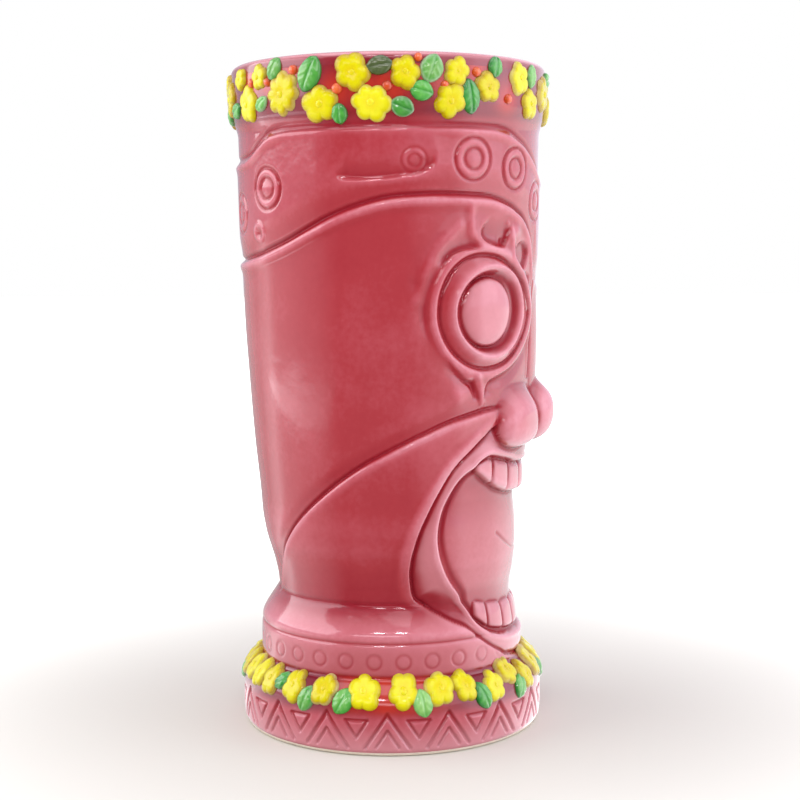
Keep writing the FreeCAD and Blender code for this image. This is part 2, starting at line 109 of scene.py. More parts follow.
def makeCamera():
    # a camera looks along its own -Z, so it is stood up, pitched, swung round and rolled
    cam = bpy.data.cameras.new("camera")
    cam.lens = view["lens"]
    cam.clip_start = 0.01
    cam.dof.use_dof = False
    obj = bpy.data.objects.new("camera", cam)
    turn = Matrix.Rotation(view["aim"] - math.pi / 2, 4, "Z")
    pitch = Matrix.Rotation(math.pi / 2 - view["pitch"], 4, "X")
    roll = Matrix.Rotation(view["roll"], 4, "Z")
    obj.matrix_world = Matrix.Translation(view["place"]) @ turn @ pitch @ roll
    bpy.context.scene.collection.objects.link(obj)
    bpy.context.scene.camera = obj


studio = {
    # how bright the room is all the way round: (degrees from +X towards +Y, brightness)
    "room": [(0, 0.6), (34, 0.6), (60, 0.9), (84, 0.95), (124, 0.7), (146, 0.1), (194, 0.1), (206, 0.7),
             (236, 0.9), (250, 2.2), (264, 2.1), (310, 1.4), (360, 1.0)],
    "strength": 1.0, "tint": (0.96, 0.94, 1.07), "ceiling": 0.5, "ceilingEdge": (0.55, 0.85),
    "softboxes": [
        # name, place, aimed at, size across, size up, watts
        ("windowBox", (-0.42, -1.0, 0.6), (0, 0, 0.08), 1.5, 1.1, 3.5),
        ("leftBox", (-0.12, 0.94, 0.47), (0, 0, 0.1), 1.3, 0.62, 6.3),
        ("topBox", (-0.28, 0.06, 1.1), (0, 0, 0.0), 1.0, 0.9, 4.1),
        ("frontBox", (-0.93, 0.14, 0.43), (0, 0, 0.03), 0.75, 0.16, 1.1),
        ("smallLampA", (-0.9, 0.12, 0.75), (0, 0, 0.08), 0.17, 0.035, 1.0),
        ("smallLampB", (-0.9, -0.22, 0.75), (0, 0, 0.08), 0.17, 0.035, 1.0),
    ],
}


def makeLights():
    for name, place, target, across, up, watts in studio["softboxes"]:
        lamp = bpy.data.lights.new(name, "AREA")
        lamp.shape = "RECTANGLE"
        lamp.size, lamp.size_y, lamp.energy = across, up, watts
        obj = bpy.data.objects.new(name, lamp)
        obj.location = place
        obj.rotation_euler = (Vector(target) - Vector(place)).to_track_quat("-Z", "Y").to_euler()
        bpy.context.scene.collection.objects.link(obj)


def makeRoom():
    # the walls' brightness runs round with the compass, under an even ceiling
    world = bpy.data.worlds.new("studioRoom")
    bpy.context.scene.world = world
    world.use_nodes = True
    tree = world.node_tree
    way = added(tree, "ShaderNodeTexCoord", {}).outputs["Generated"]
    walls = compassRamp(tree, way, studio["room"], studio["tint"])
    rise = added(tree, "ShaderNodeSeparateXYZ", {0: way}).outputs["Z"]
    low, high = studio["ceilingEdge"]
    edge = {"Value": rise, "From Min": low, "From Max": high}
    above = added(tree, "ShaderNodeMapRange", edge).outputs["Result"]
    ceiling = (*(studio["ceiling"] * c for c in studio["tint"]), 1)
    # plain white where the room itself is seen; the walls above only light the mug and show in its glaze
    seen = added(tree, "ShaderNodeLightPath", {}).outputs["Is Camera Ray"]
    colour = mixed(tree, seen, mixed(tree, above, walls, ceiling), (1, 1, 1, 1))
    fill(tree, tree.nodes["Background"], {"Color": colour, "Strength": studio["strength"]})


bpy.context.scene.view_settings.view_transform = "Standard"
makeCamera()
makeLights()
makeRoom()
print("camera and lights ready")

# Curves, profiles and distances


def smoothLine(points, count=300, closed=False):
    # Catmull-Rom curve through the points: each span is a cubic of its four nearest points
    p = np.asarray(points, float)
    p = np.vstack([p[-1], p, p[:2]]) if closed else np.vstack([2 * p[0] - p[1], p, 2 * p[-1] - p[-2]])
    spans = len(p) - 3
    t = np.linspace(0, spans, count, endpoint=not closed)
    k = np.minimum(t.astype(int), spans - 1)
    f = (t - k)[:, None]
    a, b, c, d = p[k], p[k + 1], p[k + 2], p[k + 3]
    bend, twist = 2 * a - 5 * b + 4 * c - d, 3 * b - a - 3 * c + d
    return 0.5 * (2 * b + (c - a) * f + bend * f ** 2 + twist * f ** 3)


def profile(points):
    # radius as a function of height, along a smooth line through (height, radius) points
    line = smoothLine(points, 900)
    return lambda z: np.interp(z, line[:, 0], line[:, 1])


def bell(x, width):
    return np.exp(-(x / width) ** 2)


def ramp(x, low, high):
    # smooth step from 0 at low to 1 at high
    t = np.clip((x - low) / (high - low), 0, 1)
    return t * t * (3 - 2 * t)


def strip(distance, size, at, width):
    # a soft ridge, or a groove where the size is negative, along the line where the distance is at
    return size * bell(distance - at, width)


def softMax(a, b, blend):
    # the larger of two, rounded where they are within the blend of each other
    h = np.maximum(blend - np.abs(a - b), 0) / blend
    return np.maximum(a, b) + h * h * blend / 4


bodyProfile = profile([
    (17.0, 33.9), (17.8, 33.25), (18.6, 33.35), (22, 33.35), (25.2, 33.25), (25.9, 32.85), (26.7, 33.1),
    (28, 32.9), (29.5, 32.15), (31, 31.2), (32.5, 30.2), (33.8, 29.35), (34.7, 28.8), (35.6, 28.75),
    (37.5, 28.95), (39, 29.2), (42, 29.9), (45, 30.8), (48, 31.7), (51, 32.3), (54, 32.75), (60, 33.2),
    (66, 33.8), (72, 34.4), (81, 35.1), (90, 35.7), (99, 36.3), (108, 36.7), (117, 37.0), (126, 37.3),
    (135, 37.5), (146, 37.75), (148.5, 37.85), (150.2, 38.3), (152, 38.9), (154, 39.2), (158, 39.35),
    (163.4, 39.3),
])
mouthProfile = profile([
    (17, 33.6), (19.5, 32.9), (22, 32.3), (24, 31.9), (27, 31.4), (30, 30.9), (33, 30.4), (36, 30.6),
    (39, 31.2), (42, 31.6), (45, 31.9), (51, 31.9), (57, 31.4), (60, 31.4), (64, 31.8), (68, 33.2),
    (72, 34.2), (78, 34.8), (82, 35.2),
])
plinthProfile = profile([
    (0.9, 37.7), (1.6, 38.1), (3, 38.25), (6, 38.35), (9, 38.3), (11, 38.1), (12.5, 37.8), (14, 37.1),
    (15.4, 36.1), (16.5, 34.9), (17.2, 33.9),
])

# One half of the skin, from the middle of the face to the middle of the back; the other half mirrors it
skin = {"low": 17.0, "high": 163.4, "rows": 440, "halfColumns": 400, "meanRadius": 36, "backFrom": 118,
        "bandFrom": 149, "lipFrom": 162}
halfAngles = np.linspace(0, 180, skin["halfColumns"] + 1)
heights = np.linspace(skin["low"], skin["high"], skin["rows"] + 1)
gridA, gridZ = np.meshgrid(halfAngles, heights)
wall = bodyProfile(gridZ)
across = np.radians(gridA) * wall          # length round the wall from the middle of the face


def toLengths(points):
    # (angle, height) points as (length round the wall, height)
    p = np.asarray(points, float)
    return np.column_stack([np.radians(p[:, 0]) * bodyProfile(p[:, 1]), p[:, 1]])


def overLine(points):
    # distance above a line that runs round the wall: the drop in height, shortened by the line's slope
    line = smoothLine(points, 500)
    order = np.argsort(line[:, 0])
    line = line[order]
    height = np.interp(gridA, line[:, 0], line[:, 1])
    length = np.radians(line[:, 0]) * skin["meanRadius"] + 1e-6 * np.arange(len(line))
    slope = np.interp(gridA, line[:, 0], np.gradient(line[:, 1], length))
    return (gridZ - height) / np.sqrt(1 + slope ** 2)


def window(points, margin):
    # rows and columns of the grid within a margin of the points
    p = toLengths(points)
    rows = np.where((heights > p[:, 1].min() - margin) & (heights < p[:, 1].max() + margin))[0]
    lowA = min(q[0] for q in points) - margin * 2.1
    highA = max(q[0] for q in points) + margin * 2.1
    columns = np.where((halfAngles >= lowA) & (halfAngles <= highA))[0]
    return slice(rows[0], rows[-1] + 1), slice(columns[0], columns[-1] + 1)


def nearest(line, u, z, closed=False):
    # shortest distance from each grid point to the straight runs of a line, the side of the line that
    # the point is on (1 to the left of its direction), how far along it is from 0 to 1, and inside or not
    best = np.full(u.shape, 1e9)
    side = np.ones(u.shape)
    along = np.zeros(u.shape)
    inside = np.zeros(u.shape, bool)
    ends = np.roll(line, -1, axis=0) if closed else line[1:]
    for k, ((u0, z0), (u1, z1)) in enumerate(zip(line, ends)):
        du, dz = u1 - u0, z1 - z0
        t = np.clip(((u - u0) * du + (z - z0) * dz) / (du * du + dz * dz + 1e-12), 0, 1)
        far = (u - u0 - t * du) ** 2 + (z - z0 - t * dz) ** 2
        closer = far < best
        best = np.where(closer, far, best)
        side = np.where(closer, np.sign(du * (z - z0) - dz * (u - u0)), side)
        along = np.where(closer, (k + t) / (len(line) - 1), along)
        if closed:
            crossing = ((z0 <= z) != (z1 <= z)) & (u < u0 + (z - z0) * du / (dz if dz else 1e-9))
            inside ^= crossing
    return np.sqrt(best), side, along, inside


def toCurve(points, margin=6.0, count=60):
    # distance of the grid from an open curve, far away outside the margin
    result = np.full(gridA.shape, 99.0)
    win = window(points, margin)
    result[win] = nearest(smoothLine(toLengths(points), count), across[win], gridZ[win])[0]
    return result


def stepBeside(points, soft, sharp=0.35, margin=12.0, count=70):
    # 1 just to the left of a curve (looking along it), fading out over a soft width, 0 to its right,
    # and fading out at both ends
    result = np.zeros(gridA.shape)
    win = window(points, margin)
    far, side, along, _ = nearest(smoothLine(toLengths(points), count), across[win], gridZ[win])
    s = far * side
    ends = ramp(along, 0, 0.2) * ramp(-along, -1, -0.8)
    result[win] = ramp(s, -sharp, sharp) * np.exp(-(np.maximum(s, 0) / soft) ** 2) * ends
    return result


def insideOf(points, margin=8.0, count=160):
    # distance of the grid inside a closed outline, negative outside it
    result = np.full(gridA.shape, -99.0)
    win = window(points, margin)
    line = smoothLine(toLengths(points), count, closed=True)
    far, _, _, inner = nearest(line, across[win], gridZ[win], True)
    result[win] = np.where(inner, far, -far)
    return result


def fromPlace(angle, height):
    # distance of the grid from one place on the wall
    scale = math.radians(1) * bodyProfile(height)
    return np.hypot((gridA - angle) * scale, gridZ - height)


# Relief: how far each carved feature stands off the turned wall, in millimetres

relief = np.zeros(gridA.shape)
label = np.full(gridA.shape, "wall", dtype="U16")

headband = {
    "low": [(0, 111.5), (6, 112), (11, 114), (14, 117.2), (16, 120), (18, 122.6), (21, 125), (26, 127.7),
            (31, 129.3), (36, 130.6), (46, 132.2), (56, 132.6), (66, 132.7), (76, 132.5), (86, 131.9),
            (96, 130.3), (106, 128), (116, 125), (126, 122.2), (136, 120.2), (146, 118.8), (160, 117.8),
            (180, 117.4)],
    "high": [(0, 137.5), (6, 138), (11, 139.4), (16, 141.3), (21, 143.2), (26, 144.9), (31, 146.2),
             (36, 147.4), (41, 148.1), (50, 148.6), (86, 148.7), (120, 148.5), (131, 147.8), (136, 146.9),
             (141, 145.2), (148, 143), (156, 142.1), (180, 141.8)],
    # ridges and grooves along the two lines: size, how far over the line, half width
    "roll": (0.5, -1.5, 1.25), "groove": (-0.7, 0.25, 0.55), "upperGroove": (-0.35, 0.5, 0.6),
    "upperRoll": (0.3, -1.3, 1.2), "stand": 0.55, "shelf": 0.25,
    # the lower roll fades towards the middle of the face, and the upper one at the sides
    "front": (6, 20), "frontLeast": 0.15, "sides": (58, 70, 122, 136), "sideLoss": 0.85,
    "leaf": [(68.5, 143), (70, 139.4), (74, 137.6), (80, 136.9), (88, 136.3), (96, 136.1), (102, 136.4),
             (106, 137.5)],
    "leafRidge": 0.06, "leafLine": 1.5, "leafDepth": 0.62, "leafSoft": (3.2, 0.8),
    # where the shelf, the band's lower side, its upper side and the neck groove fade in
    "shelfFade": (0.3, 1.2), "lowFade": (0.4, 7), "highFade": (0.2, 1.6), "neckFade": (-150, -149),
    "region": (0.2, 0.4),
}


def carveHeadband():
    # a band that stands proud between two arched lines, with a roll and a groove along each
    global relief
    low, high = overLine(headband["low"]), overLine(headband["high"])
    front = headband["frontLeast"] + (1 - headband["frontLeast"]) * ramp(gridA, *headband["front"])
    relief += front * (strip(low, *headband["roll"]) + strip(low, *headband["groove"]))
    relief += headband["shelf"] * ramp(-low, *headband["shelfFade"])
    relief += headband["stand"] * ramp(low, *headband["lowFade"]) * ramp(-high, *headband["highFade"])
    a, b, c, d = headband["sides"]
    shown = 1 - headband["sideLoss"] * ramp(gridA, a, b) * ramp(-gridA, -d, -c)
    underNeck = ramp(-gridZ, *headband["neckFade"])
    relief += shown * underNeck * strip(high, *headband["upperGroove"])
    relief += shown * strip(high, *headband["upperRoll"])
    # a shallow leaf-shaped hollow over a ridge, at the side of the band
    relief += headband["leafRidge"] * bell(toCurve(headband["leaf"]), headband["leafLine"])
    relief -= headband["leafDepth"] * stepBeside(headband["leaf"], *headband["leafSoft"])
    least, most = headband["region"]
    label[(low > least) & (high <= most)] = "headband"


medallions = {
    "places": [(13.5, 131.8, 4.7, 0.7), (33.0, 139.1, 4.9, 1.0), (54.5, 140.9, 4.9, 0.8),
               (76.9, 140.4, 2.9, 0.35), (135.5, 134.7, 4.9, 1.0), (158.5, 129.2, 4.8, 0.6)],
    # depths and heights, the half width of a groove, and the button's share of the radius
    "ringGroove": 0.42, "buttonGroove": 0.34, "ringSwell": 0.22, "buttonSwell": 0.15, "line": 0.42,
    "button": 0.5,
    "dimple": (141.7, 124.3, 1.9, 0.25), "margin": 0.6,
}


def carveMedallions():
    # each is a groove round a soft ring, with a smaller groove round a button
    global relief
    line = medallions["line"]
    for angle, height, radius, depth in medallions["places"]:
        r = fromPlace(angle, height)
        inner = radius * medallions["button"]
        relief -= depth * medallions["ringGroove"] * bell(r - radius, line)
        relief -= depth * medallions["buttonGroove"] * bell(r - inner, line)
        relief += depth * medallions["ringSwell"] * bell(r - (radius + inner) / 2, 1.0)
        relief += depth * medallions["buttonSwell"] * bell(r, inner * 0.7)
        label[r < radius + medallions["margin"]] = "medallions"
    angle, height, radius, depth = medallions["dimple"]
    r = fromPlace(angle, height)
    relief += depth * (bell(r - radius, 0.6) - bell(r, 0.8))


eye = {
    "place": (47, 105.1), "ball": 8.2, "rise": 2.1, "floor": -0.6,
    "almond": [(67.6, 105), (67, 109), (65, 112.6), (61.9, 115.5), (57.6, 117.6), (52.8, 118.6),
               (47.7, 118.7), (42, 118.1), (35.4, 116.4), (28.9, 113.8), (23.7, 110.6), (20.2, 107.3),
               (18.6, 104.2), (20.2, 101), (23.8, 98.2), (28.5, 95.6), (34.5, 93.2), (40, 92), (46, 91.5),
               (51.4, 91.9), (56.5, 93.2), (61.3, 95.5), (64.8, 98.5), (66.9, 101.8)],
    "rimPlace": (44.7, 105.2), "crest": 10.8, "ringRise": 1.5, "groove": 0.5,
    "fold": 0.55, "foldAt": 1.25, "foldSoft": 1.25, "trough": 0.3, "troughAt": 3.5, "troughSoft": 1.4,
    "domeGroove": 0.3,
}


def carveEye():
    # dome in a round socket; round it a rim that is highest on a circle and slopes out to the almond,
    # along rays from the middle; outside the almond a fold with a crisp inner edge that dies away softly
    global relief
    r = fromPlace(*eye["place"])
    fromRim = fromPlace(*eye["rimPlace"])
    d = insideOf(eye["almond"], margin=12)
    line = smoothLine(toLengths(eye["almond"]), 400, closed=True)
    middle = toLengths([eye["rimPlace"]])[0]
    ray = np.hypot(*(line - middle).T)
    ways = np.arctan2(line[:, 1] - middle[1], line[:, 0] - middle[0])
    edge = np.interp(np.arctan2(gridZ - middle[1], across - middle[0]), *periodic(ways, ray))
    outer = np.clip((fromRim - eye["crest"]) / (edge - eye["crest"]), 0, 1.2)
    rim = eye["ringRise"] * np.where(fromRim > eye["crest"], np.clip(1 - outer, 0, 1) ** 1.5,
                                     ramp(fromRim, eye["crest"] - 2.4, eye["crest"] + 0.4))
    rim += eye["floor"] * (1 - ramp(fromRim, eye["crest"] - 2.2, eye["crest"] - 0.4))
    outward = -d
    fold = eye["fold"] * bell(outward - eye["foldAt"], eye["foldSoft"]) * ramp(gridA, 12, 18)
    beside = ramp(gridA, 60, 68) * ramp(gridZ, 96, 102) * ramp(-gridZ, -118, -112)
    fold -= eye["trough"] * beside * bell(outward - eye["troughAt"], eye["troughSoft"])
    shape = np.where(d > 0, rim, fold) - eye["groove"] * bell(d - 0.05, 0.45)
    dome = eye["rise"] * np.clip(1 - (r / eye["ball"]) ** 2.4, 0, 1) ** 0.6 + eye["floor"] * 0.3
    relief += np.where(d > -9, np.maximum(shape, np.where(r < eye["ball"], dome, -9)), 0)
    relief -= eye["domeGroove"] * bell(r - eye["ball"] - 0.3, 0.5)
    label[(d > -3.1) & (d <= 0)] = "eyelid"
    label[d > 0] = "eyeRing"
    label[r < eye["ball"] + 0.45] = "eye"


def periodic(ways, values):
    # angles in rising order with one full turn added at each end, for interpolation round a loop
    order = np.argsort(ways)
    ways, values = ways[order], values[order]
    return np.concatenate([ways - 2 * math.pi, ways, ways + 2 * math.pi]), np.tile(values, 3)


brow = {
    # soft ridges: points, rise, half width
    "ridges": [
        ([(54.5, 129), (54.6, 126.5), (54, 124), (51.8, 121.6), (48, 120.6), (42, 119.9),
          (36, 119)], 0.4, 1.3),
        ([(36, 126), (34, 123), (33.2, 121), (32.4, 118), (29.5, 115.4), (26, 113.6), (22.6, 110.6),
          (19, 106)], 0.5, 0.9),
        ([(50.2, 90), (48.7, 88), (47.9, 86), (47.2, 83.4)], 0.35, 0.9),
        ([(60, 125.4), (64, 122.8), (67.3, 120.3), (70, 117.2), (72.6, 113.5), (75, 108.5)], 0.32, 1.7),
        ([(17, 110), (16, 103), (15.6, 96), (15.8, 89)], 0.2, 0.7),
    ],
    # hollows with one crisp edge: points, depth, softness of the far side, softness of the near edge
    "hollows": [
        ([(49, 120.6), (52.5, 120.1), (55.5, 119.9), (58.5, 119.6), (61, 119.1), (62.8, 118.5),
          (65.1, 117), (67.4, 115)], 0.8, 2.3, 0.5),
        ([(66, 96.2), (61, 92.2), (56.1, 89.6), (52.3, 88.3), (50.2, 86.6), (49.4, 85),
          (48.9, 83.4)], 0.5, 2.2, 0.5),
        ([(46.9, 83.6), (46.6, 85.6), (45.6, 87.6), (43.9, 88.7), (39, 89.9), (31.8, 91.5), (25, 94),
          (19, 97.6), (16.5, 100)], 0.7, 3.2, 0.4),
    ],
    # pockets with a crisp edge all round: outline, depth, height above which they open
    "pockets": [
        ([(45.3, 128.5), (48.2, 126.6), (50.1, 125), (50.4, 123.4), (49, 122), (46.8, 121.1),
          (43.6, 120.5), (40.2, 120.2), (38.2, 120.6), (36.6, 121.8), (35.9, 123.3), (34.1, 125.8),
          (36, 128.5), (40.6, 129.5)], 0.9, 128.5),
        ([(25.9, 122.2), (29.4, 121.2), (31.6, 119.4), (31.1, 117.6), (28.3, 115.9), (24.9, 114.8),
          (21.8, 116.3), (20.2, 118.2), (20.7, 120.2), (22.9, 121.6)], 0.95, 125),
        ([(22.2, 114.6), (23.6, 113.4), (22.3, 111.9), (19.8, 110.2), (18.2, 112),
          (18.4, 113.8)], 0.5, 119),
        ([(61, 90.8), (58, 89.9), (55, 89.3), (52.4, 89.4), (51.1, 88.2), (50.8, 86.2), (51, 84.4),
          (52.4, 85.6), (54.2, 87.2), (56.6, 88.3), (59, 89.5)], 0.5, 100),
    ],
    "grooves": [([(13.5, 112), (13.4, 104), (13.6, 96), (14, 88.5)], 0.35, 0.5),
                ([(75.5, 112), (74, 107.5), (72.5, 104)], 0.2, 1.8)],
    "bumps": [(31.6, 124.2, 0.6, 2.1), (38.6, 121.9, -0.35, 1.1), (58.5, 85.6, 0.35, 2.0)],
}


def carveBrow():
    # ridges and grooves follow curves, hollows lie to the left of theirs, bumps are round
    global relief
    for points, rise, width in brow["ridges"]:
        relief += rise * bell(toCurve(points), width)
    for points, depth, soft, sharp in brow["hollows"]:
        relief -= depth * stepBeside(points, soft, sharp)
    for outline, depth, opening in brow["pockets"]:
        relief -= depth * ramp(insideOf(outline), -0.25, 0.85) * ramp(-gridZ, -opening, 5 - opening)
    for points, depth, width in brow["grooves"]:
        relief -= depth * bell(toCurve(points), width)
    for angle, height, rise, width in brow["bumps"]:
        relief += rise * bell(fromPlace(angle, height), width)
    label[(gridA > 17) & (gridA < 56) & (gridZ > 110) & (label == "wall")] = "brow"


cheek = {
    "line": [(0, 84), (39, 81.8), (46, 81.4), (51, 80.8), (56, 80.1), (61, 79.3), (66, 78.2), (71, 76.9),
             (76, 75.6), (81, 74.1), (86, 72.6), (96, 69.3), (106, 65.3), (116, 60.8), (126, 56),
             (136, 50.5), (146, 44.5), (154, 39.5), (158, 36), (166, 30), (180, 25)],
    # ridge, groove and hollow along the line: size, how far over the line, half width
    "edge": (0.12, -1.2, 1.1), "groove": (-0.5, 0.25, 0.5), "hollow": (-0.35, 1.2, 2.2), "stand": 0.45,
}


def carveCheek():
    # the skin under the line stands proud of the skin over it, with a groove between
    global relief
    s = overLine(cheek["line"])
    reach = ramp(gridA, 36, 42) * ramp(gridZ, 33.5, 36)
    relief += reach * (cheek["stand"] * ramp(-s, -0.1, 0.9) + strip(s, *cheek["edge"]))
    relief += reach * (strip(s, *cheek["groove"]) + strip(s, *cheek["hollow"]) * (s > 0))
    label[(s < 0) & (gridA > 38) & (gridZ > 34.7) & (label == "wall")] = "cheek"


mouth = {
    "outer": [(0, 80), (20, 79.4), (39, 77.4), (46, 75), (53, 71.6), (58, 69), (62, 66), (66, 62),
              (70, 57.5), (73.5, 53), (76, 48), (77, 44), (76.6, 40), (74.8, 36.2), (71, 34.7),
              (66, 32.9), (59, 30.6), (53, 29), (49.5, 27.6), (44, 25), (38, 22.8), (31, 20.6),
              (27, 19.4), (15, 18.2), (0, 17.9)],
    "inner": [(0, 66.8), (19, 67.3), (26, 68.3), (34, 69.4), (41, 70.2), (46, 69.3), (49.5, 67.4),
              (53, 66.2), (56, 64.5), (59, 62), (62, 59), (64, 56), (65.2, 53), (65.4, 50), (64.6, 47),
              (62.5, 43.5), (59, 40), (54, 36.5), (50, 33), (47, 30.4), (44, 28.7), (40, 27.2), (36, 26),
              (28, 24.8), (15, 24.2), (0, 24)],
    "crease": [(0, 44.6), (8, 44.8), (14, 45.4), (21, 47), (26, 48.5), (31, 50.3)],
    "upperJoints": [0, 13, 26, 38, 48.2], "lowerJoints": [0, 12, 24.5, 37, 45.6],
    "upperGum": [(0, 67), (19, 67.6), (26, 68.5), (34, 69.6), (41, 70.3), (48.2, 68.4)],
    "upperEdge": [(0, 59.4), (13, 59.5), (26, 60.3), (34, 61.8), (41, 63.9), (48.2, 66.6)],
    "lowerGum": [(0, 24.2), (12, 24.5), (24.5, 25.2), (37, 26.8), (45.6, 30.2)],
    "lowerEdge": [(0, 32.6), (12, 32.7), (24.5, 33), (37, 33.8), (45.6, 34.6)],
    "upperRadius": 34.0, "lowerStand": 0.85, "lipRise": 1.0, "lipRound": 0.25, "foldDepth": 0.5,
    # strips along the outer and the inner edge: size, how far inside the edge, half width
    "lipCrest": (0.4, -0.9, 0.8), "lipGroove": (-0.35, 0.1, 0.6), "swell": (0.3, -1.9, 1.2),
    "tongueEdge": (-0.45, 0.9, 0.8), "tongueLine": (-0.28, 0, 0.45),
    # over what distances the lips run into the wall and into the tongue, and the teeth into the tongue
    "outerBlend": (-0.45, 0.25), "innerBlend": (-0.55, 0.35), "toothBlend": 0.15, "toothMargin": 0.4,
    "swellFrom": 34,
}


def mirroredOutline(half):
    # a closed outline over the middle of the face, from its +X half
    return [(-a, z) for a, z in reversed(half) if a > 0] + [(a, z) for a, z in half]


def toothRow(joints, topLine, bottomLine, radius):
    # each tooth is a block between two joints, its face bowed down at the edges:
    # radius minus a part of |across|^6 and |up|^5, across and up running from -1 to 1
    top = np.interp(gridA, *np.array(topLine).T)
    bottom = np.interp(gridA, *np.array(bottomLine).T)
    up = (2 * gridZ - top - bottom) / np.maximum(top - bottom, 0.5)
    result = np.zeros(gridA.shape)
    for a0, a1 in zip(joints, joints[1:]):
        sideways = (2 * gridA - a0 - a1) / (a1 - a0)
        block = radius - 0.25 * np.abs(sideways) ** 2 - 0.6 * np.abs(sideways) ** 9 - 0.3 * up ** 2
        drop = np.clip(1 - np.abs(up) ** 7, 0, 1) ** 0.5
        inside = (np.abs(sideways) <= 1) & (np.abs(up) < 1)
        result = np.where(inside, np.maximum(result, block - 2.6 * (1 - drop)), result)
    return result


def carveMouth(surface):
    # lips rise from a fold at their outer edge to a crest at the inner edge; the tongue is a plain
    # bulge inside, and both rows of teeth stand on it
    outer = insideOf(mirroredOutline(mouth["outer"]), margin=5, count=420)
    inner = insideOf(mirroredOutline(mouth["inner"]), margin=7, count=420)
    floor = mouthProfile(gridZ)
    t = np.clip(outer / np.maximum(outer - inner, 0.5), 0, 1)
    lips = (wall - mouth["foldDepth"]) * (1 - t) + (floor + mouth["lipRise"]) * t
    lips += mouth["lipRound"] * 4 * t * (1 - t)
    lips += strip(inner, *mouth["lipCrest"]) + strip(outer, *mouth["lipGroove"])
    tongue = floor + strip(inner, *mouth["tongueEdge"])
    tongue += strip(toCurve(mouth["crease"]), *mouth["tongueLine"])
    inside = tongue + (lips - tongue) * (1 - ramp(inner, *mouth["innerBlend"]))
    upper = toothRow(mouth["upperJoints"], mouth["upperGum"], mouth["upperEdge"], mouth["upperRadius"])
    lower = toothRow(mouth["lowerJoints"], mouth["lowerEdge"], mouth["lowerGum"], floor + mouth["lowerStand"])
    inside = softMax(softMax(inside, upper, mouth["toothBlend"]), lower, mouth["toothBlend"])
    outside = surface + strip(outer, *mouth["swell"]) * (gridZ > mouth["swellFrom"])
    blend = ramp(outer, *mouth["outerBlend"])
    label[outer > -0.1] = "lips"
    label[inner > 0] = "tongue"
    label[(upper > floor - mouth["toothMargin"]) & (inner > -1)] = "upperTeeth"
    label[(lower > floor - mouth["toothMargin"]) & (inner > -1)] = "lowerTeeth"
    return outside * (1 - blend) + inside * blend


nose = {
    # angle, height, radius of the centre, half across, half out, half up, half down, squareness
    "ball": (0, 79.2, 34.2, 8.0, 7.6, 9.6, 7.9, 2.2),
    "wing": (23.4, 77.6, 33.0, 10.1, 6.5, 9.6, 6.3, 2.7),
    "ridge": (0, 92, 33.5, 8.2, 3.2, 26, 10, 2.2),
    # depth and half width of the groove between ball and wing, and where it fades in
    "crease": (0.5, 0.5), "creaseMeeting": (-1, 0.5), "creaseFrom": (75, 78),
    # how far the meetings are rounded: least, how much more, and between which heights that comes in
    "ridgeBlend": 1.5, "wingBlend": (0.05, 1.8, -77, -73), "cheekBlend": (0.6, 3.0, 77.5, 83),
    "stand": 0.05, "reach": 45, "low": 69,
}


def noseLump(angle, height, centre, halfAcross, halfOut, halfUp, halfDown, power):
    # lump off a point inside the wall: out = centre + halfOut (1 - |x|^p - |z|^p)^e, where e is 1/p
    # but rises above the middle, so that the top runs out gently
    x = skin["meanRadius"] * np.sin(np.radians(gridA - angle)) / halfAcross
    z = (gridZ - height) / np.where(gridZ > height, halfUp, halfDown)
    left = 1 - np.abs(x) ** power - np.abs(z) ** power
    e = 1 / power + (0.85 - 1 / power) * ramp(z, 0, 0.7)
    out = centre + halfOut * np.where(left > 0, np.clip(left, 0, 1) ** e, np.maximum(left, -3))
    return np.where(np.abs(gridA - angle) < 60, out, 0)


def carveNose(surface):
    # ball tip and two wings, hard-edged where they meet, and a low ridge up between the eyes
    ball, wing, ridge = (noseLump(*nose[key]) for key in ("ball", "wing", "ridge"))
    least, more, low, high = nose["wingBlend"]
    lump = softMax(softMax(ball, ridge, nose["ridgeBlend"]), wing, least + more * ramp(-gridZ, low, high))
    standing = np.minimum(ball, wing) - surface
    meeting = ramp(standing, *nose["creaseMeeting"]) * ramp(gridZ, *nose["creaseFrom"])
    depth, width = nose["crease"]
    crease = depth * bell(ball - wing, width) * meeting
    label[(lump > surface + nose["stand"]) & (gridA < nose["reach"]) & (gridZ > nose["low"])] = "nose"
    # soft above, where the wings run out of the cheeks, and crisp below
    least, more, low, high = nose["cheekBlend"]
    return softMax(surface, lump - crease, least + more * ramp(gridZ, low, high))


beads = {"first": 9.0, "step": 12.0, "height": 21.7, "radius": 1.75, "groove": (0.13, 0.38),
         "point": (0.04, 0.9), "margin": 0.5, "collarTop": 26.3, "shoulderTop": 34.7}


def carveBeads():
    # small sunk rings in a row round the collar, angles taken within one step
    global relief
    off = (gridA - beads["first"] + beads["step"] / 2) % beads["step"] - beads["step"] / 2
    r = np.hypot(np.radians(off) * wall, gridZ - beads["height"])
    depth, width = beads["groove"]
    rise, reach = beads["point"]
    relief += -depth * bell(r - beads["radius"], width) + rise * bell(r, reach)
    under = gridZ < beads["collarTop"]
    label[under] = "collar"
    label[~under & (gridZ < beads["shoulderTop"])] = "shoulder"
    label[(r < beads["radius"] + beads["margin"]) & under] = "beads"


carveBeads()
carveHeadband()
carveMedallions()
carveEye()
carveBrow()
carveCheek()
surface = wall + relief
surface = carveMouth(surface)
surface = carveNose(surface)
label[(gridZ > skin["bandFrom"]) & (label != "headband")] = "band"
label[gridZ > skin["lipFrom"]] = "lip"
# the wall past the sides is a piece of its own, which keeps the pieces small
label[(gridA > skin["backFrom"]) & (label == "wall")] = "back"
print("relief carved")

# The full turn: the -X half mirrors the +X half

def fullTurn(half):
    return np.concatenate([half[:, :0:-1], half[:, :-1]], axis=1)


